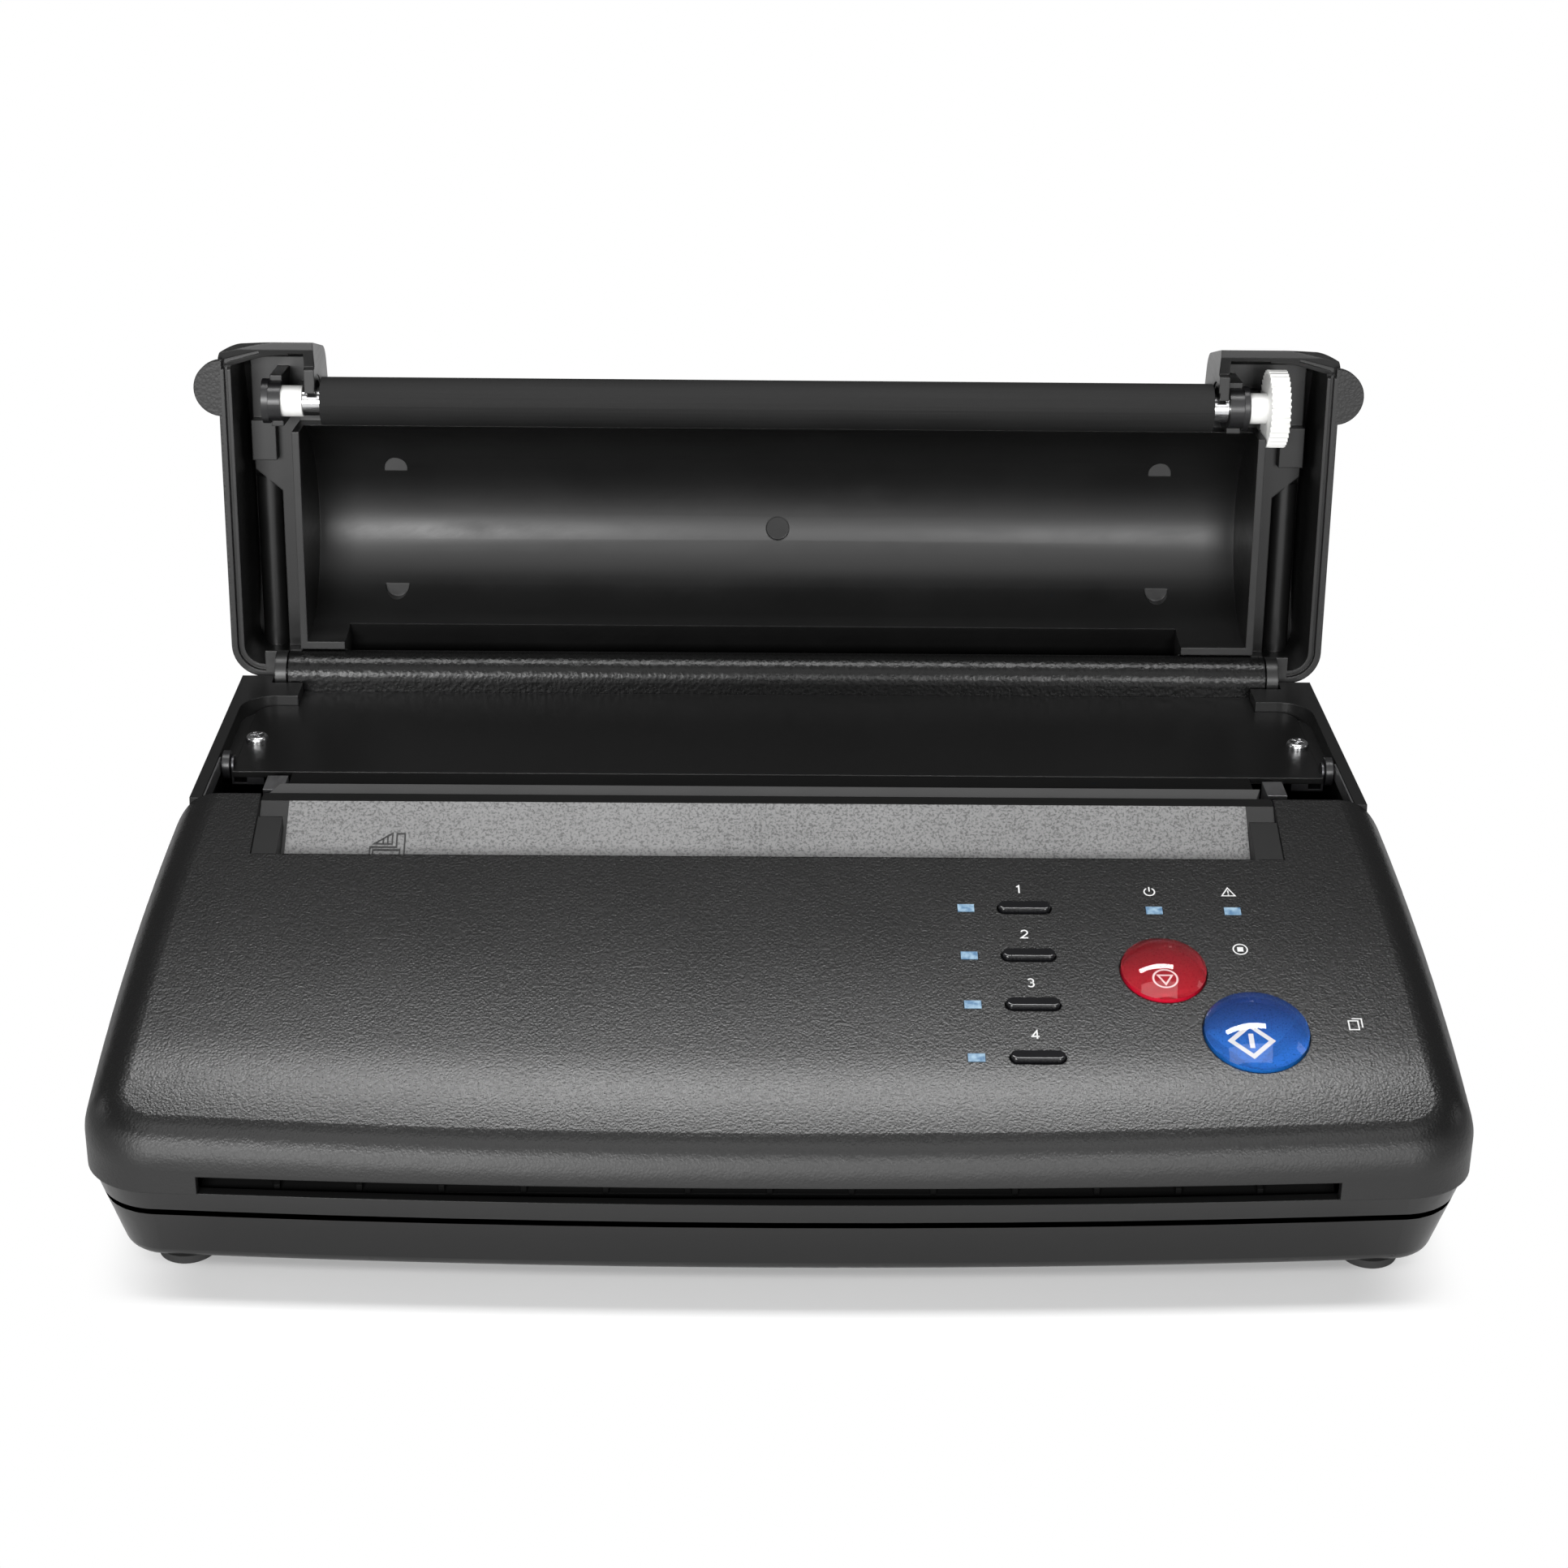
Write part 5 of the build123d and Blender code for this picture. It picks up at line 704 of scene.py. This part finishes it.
# %% Beside the round buttons
stop_sign = [(circle(0, 0, 1.5), True), ([(-0.65, 0.65), (0.65, 0.65), (0.65, -0.65), (-0.65, -0.65)], None)]
mark("label_stop", panel_page(98.8, -121.9), stop_sign, 0.3, ink, "base")
pages = [
    ([(-1.5, -1.6), (0.5, -1.6), (0.5, 0.9), (-1.5, 0.9)], True),
    ([(-0.7, 1.5), (1.3, 1.5), (1.3, -1.0)], False),
]
mark("label_copy", panel_page(120.5, -142.4), pages, 0.3, ink, "base")

# %% [markdown]
# ## Signs in the two large buttons
# The signs are printed on the caps and seen through the domes: a triangle in a ring, and a bar in a
# diamond. They ride on the buttons, so they move in when a button is pressed.

# %% Signs under the domes
pale_ink = plain("pale ink", (0.85, 0.80, 0.78), 0.5)
CAP_LIFT = 0.00084  # the caps stand 0.8 mm above the panel
stop_page = panel_page(81.6, -131.0, CAP_LIFT)
triangle = [(-1.5, 0.95), (1.5, 0.95), (0.0, -1.65)]
mark("sign_stop", stop_page, [(circle(0, 0, 2.55), True), (triangle, True)], 0.42, pale_ink, "stop")
copy_page = panel_page(97.8, -147.8, CAP_LIFT)
diamond = [(-4.3, 0.0), (0.0, 4.3), (4.3, 0.0), (0.0, -4.3)]
mark("sign_copy", copy_page, [(diamond, True), ([(0.0, 2.0), (0.0, -2.0)], False)], 1.05, pale_ink, "copy")

# %% [markdown]
# ## The sheet sign in the feed recess
# A small relief on the recess's face shows a sheet that goes in under an edge. It is moulded with the face
# but stands proud of it, so it is smooth and looks darker. The recess slopes more steeply than the panel.

# %% Sheet sign
RECESS_SLOPE = math.radians(36.3)
RECESS_BACK, RECESS_TOP = 0.0782, HINGE_Z - 0.0003  # the face's back edge, as for the panel


def recess_page(x, y, lift):
    """A page on the recess's face with its origin above the place (x, y), in millimetres from the hinge."""
    drop = (y / 1000 + RECESS_BACK) * math.tan(RECESS_SLOPE)
    up = (0.0, math.cos(RECESS_SLOPE), math.sin(RECESS_SLOPE))
    return Page((x / 1000, y / 1000 + HINGE_Y, RECESS_TOP + drop), RIGHT, up, lift)


relief = satin("relief plastic", 0.02, 0.4)
sheet_sign = [
    ([(0.3, -3.0), (0.3, 3.3), (6.2, 3.3), (6.2, 6.7), (8.0, 6.7), (8.0, -3.0)], False),
    ([(1.0, -3.0), (1.0, 2.6), (7.0, 2.6), (7.0, -3.0)], False),
    ([(1.2, 4.1), (5.2, 6.8), (5.2, 4.1)], True),
    ([(3.2, 4.1), (3.2, 5.4)], False),
    ([(4.2, 4.1), (4.2, 6.0)], False),
]
mark("sheet_sign", recess_page(-92.1, -90.4, 0.0001), sheet_sign, 0.3, relief, "base", 0.0002)

# %% [markdown]
# ## The studio
# The object stands on a pale sheet. Near it the sheet is matt and keeps the shadow. Farther out it glows
# white for the camera and for reflections alone, so the backdrop is white without more light on the object.

# %% Floor
MIDDLE_Y = HINGE_Y - 0.083
SHADOW_X, SHADOW_Y = 0.108, 0.086  # half sizes of the matt patch under the object
FADE = (0.010, 0.036)  # distances from that patch over which the sheet turns white


def floor_material():
    """Pale and matt near the object, plain white farther out."""
    paint = Paint("floor")
    x, y, z = paint.place.parts()
    right = (x.abs() - SHADOW_X).max(0.0)
    deep = ((y - MIDDLE_Y).abs() - SHADOW_Y).max(0.0)
    outside = (right * right + deep * deep).root()
    diffuse = paint.node("BsdfDiffuse", {}, {"Color": grey(0.86)})
    glow = paint.node("Emission", {}, {"Color": grey(1.0), "Strength": 1.0})
    seen, shadow, scattered, mirrored = paint.node("LightPath", {}, {}, every=True)[:4]
    share = outside.ramp(*FADE) * seen.max(mirrored)
    mixed = paint.node("MixShader", {}, {0: share, 1: diffuse, 2: glow})
    paint.node("OutputMaterial", {}, {"Surface": mixed})
    return paint.material


bpy.ops.mesh.primitive_plane_add(size=6.0)
floor = bpy.context.object
floor.name = "floor"
floor.data.materials.append(floor_material())
print("floor:", floor.dimensions[:])

# %% [markdown]
# The room around is dim grey, which fills the shadows. Only the camera sees white in its place.

# %% Backdrop
world = bpy.data.worlds.new("studio")
bpy.context.scene.world = world
world.use_nodes = True
tree = world.node_tree
tree.nodes.clear()
light_path = tree.nodes.new("ShaderNodeLightPath")
room = tree.nodes.new("ShaderNodeBackground")
room.inputs["Color"].default_value = grey(0.35)
room.inputs["Strength"].default_value = 0.25
white = tree.nodes.new("ShaderNodeBackground")
white.inputs["Color"].default_value = grey(1.0)
choose = tree.nodes.new("ShaderNodeMixShader")
output = tree.nodes.new("ShaderNodeOutputWorld")
tree.links.new(light_path.outputs["Is Camera Ray"], choose.inputs[0])
tree.links.new(room.outputs[0], choose.inputs[1])
tree.links.new(white.outputs[0], choose.inputs[2])
tree.links.new(choose.outputs[0], output.inputs["Surface"])
print("backdrop nodes:", len(tree.nodes))


# %% [markdown]
# ## Lamps
# Black plastic is seen by what it mirrors, so each lamp is placed for one highlight. The narrow one above
# the lid draws the band on the panel's front edge and the wide one above the front softens it. The two in
# front light the hollow of the lid, and the weak ones at the sides draw the ends.

# %% Lamps
def lamp(name, place, target, width, height, power):
    """A rectangular lamp at a place, facing a target."""
    data = bpy.data.lights.new(name, "AREA")
    data.shape = "RECTANGLE"
    data.size = width
    data.size_y = height
    data.energy = power
    made = bpy.data.objects.new(name, data)
    made.location = place
    made.rotation_euler = (Vector(target) - Vector(place)).to_track_quat("-Z", "Y").to_euler()
    bpy.context.collection.objects.link(made)
    print("lamp", name, "watts:", power)


lamp("overhead back", (0.0, 0.02, 0.66), (0.0, -0.06, 0.0), 0.56, 0.10, 3.0)
lamp("overhead front", (0.0, -0.46, 0.62), (0.0, -0.1, 0.0), 0.80, 0.34, 1.3)
lamp("front left", (-0.33, -0.95, 0.34), (-0.1, 0.1, 0.15), 0.36, 0.26, 8.0)
lamp("front right", (0.30, -0.95, 0.34), (0.1, 0.1, 0.15), 0.24, 0.26, 4.0)
lamp("left", (-1.0, -0.05, 0.40), (0.0, 0.0, 0.05), 0.2, 0.4, 0.5)
lamp("right", (1.0, -0.05, 0.40), (0.0, 0.0, 0.05), 0.2, 0.4, 0.3)

# %% [markdown]
# ## The camera
# The camera looks down at the panel from the front, a little to the left of the middle. From there the
# whole panel and the hollow of the lid are seen at once.

# %% Camera
PLACE = (-0.007596, -0.609536, 0.335612)
TURN, DOWN, ROLL = -0.804, 23.641, 0.684  # degrees
lens = bpy.data.cameras.new("camera")
lens.lens = 67.06
lens.sensor_width = 36.0
camera = bpy.data.objects.new("camera", lens)
bpy.context.collection.objects.link(camera)
camera.location = PLACE
turn = Matrix.Rotation(math.radians(TURN), 4, "Z")
tilt = Matrix.Rotation(math.radians(90 - DOWN), 4, "X")
roll = Matrix.Rotation(math.radians(ROLL), 4, "Z")
camera.rotation_euler = (turn @ tilt @ roll).to_euler()
print("camera at:", camera.location[:])

# %% Camera and colours of the scene
scene = bpy.context.scene
scene.camera = camera
scene.view_settings.view_transform = "Standard"
print("view transform:", scene.view_settings.view_transform)
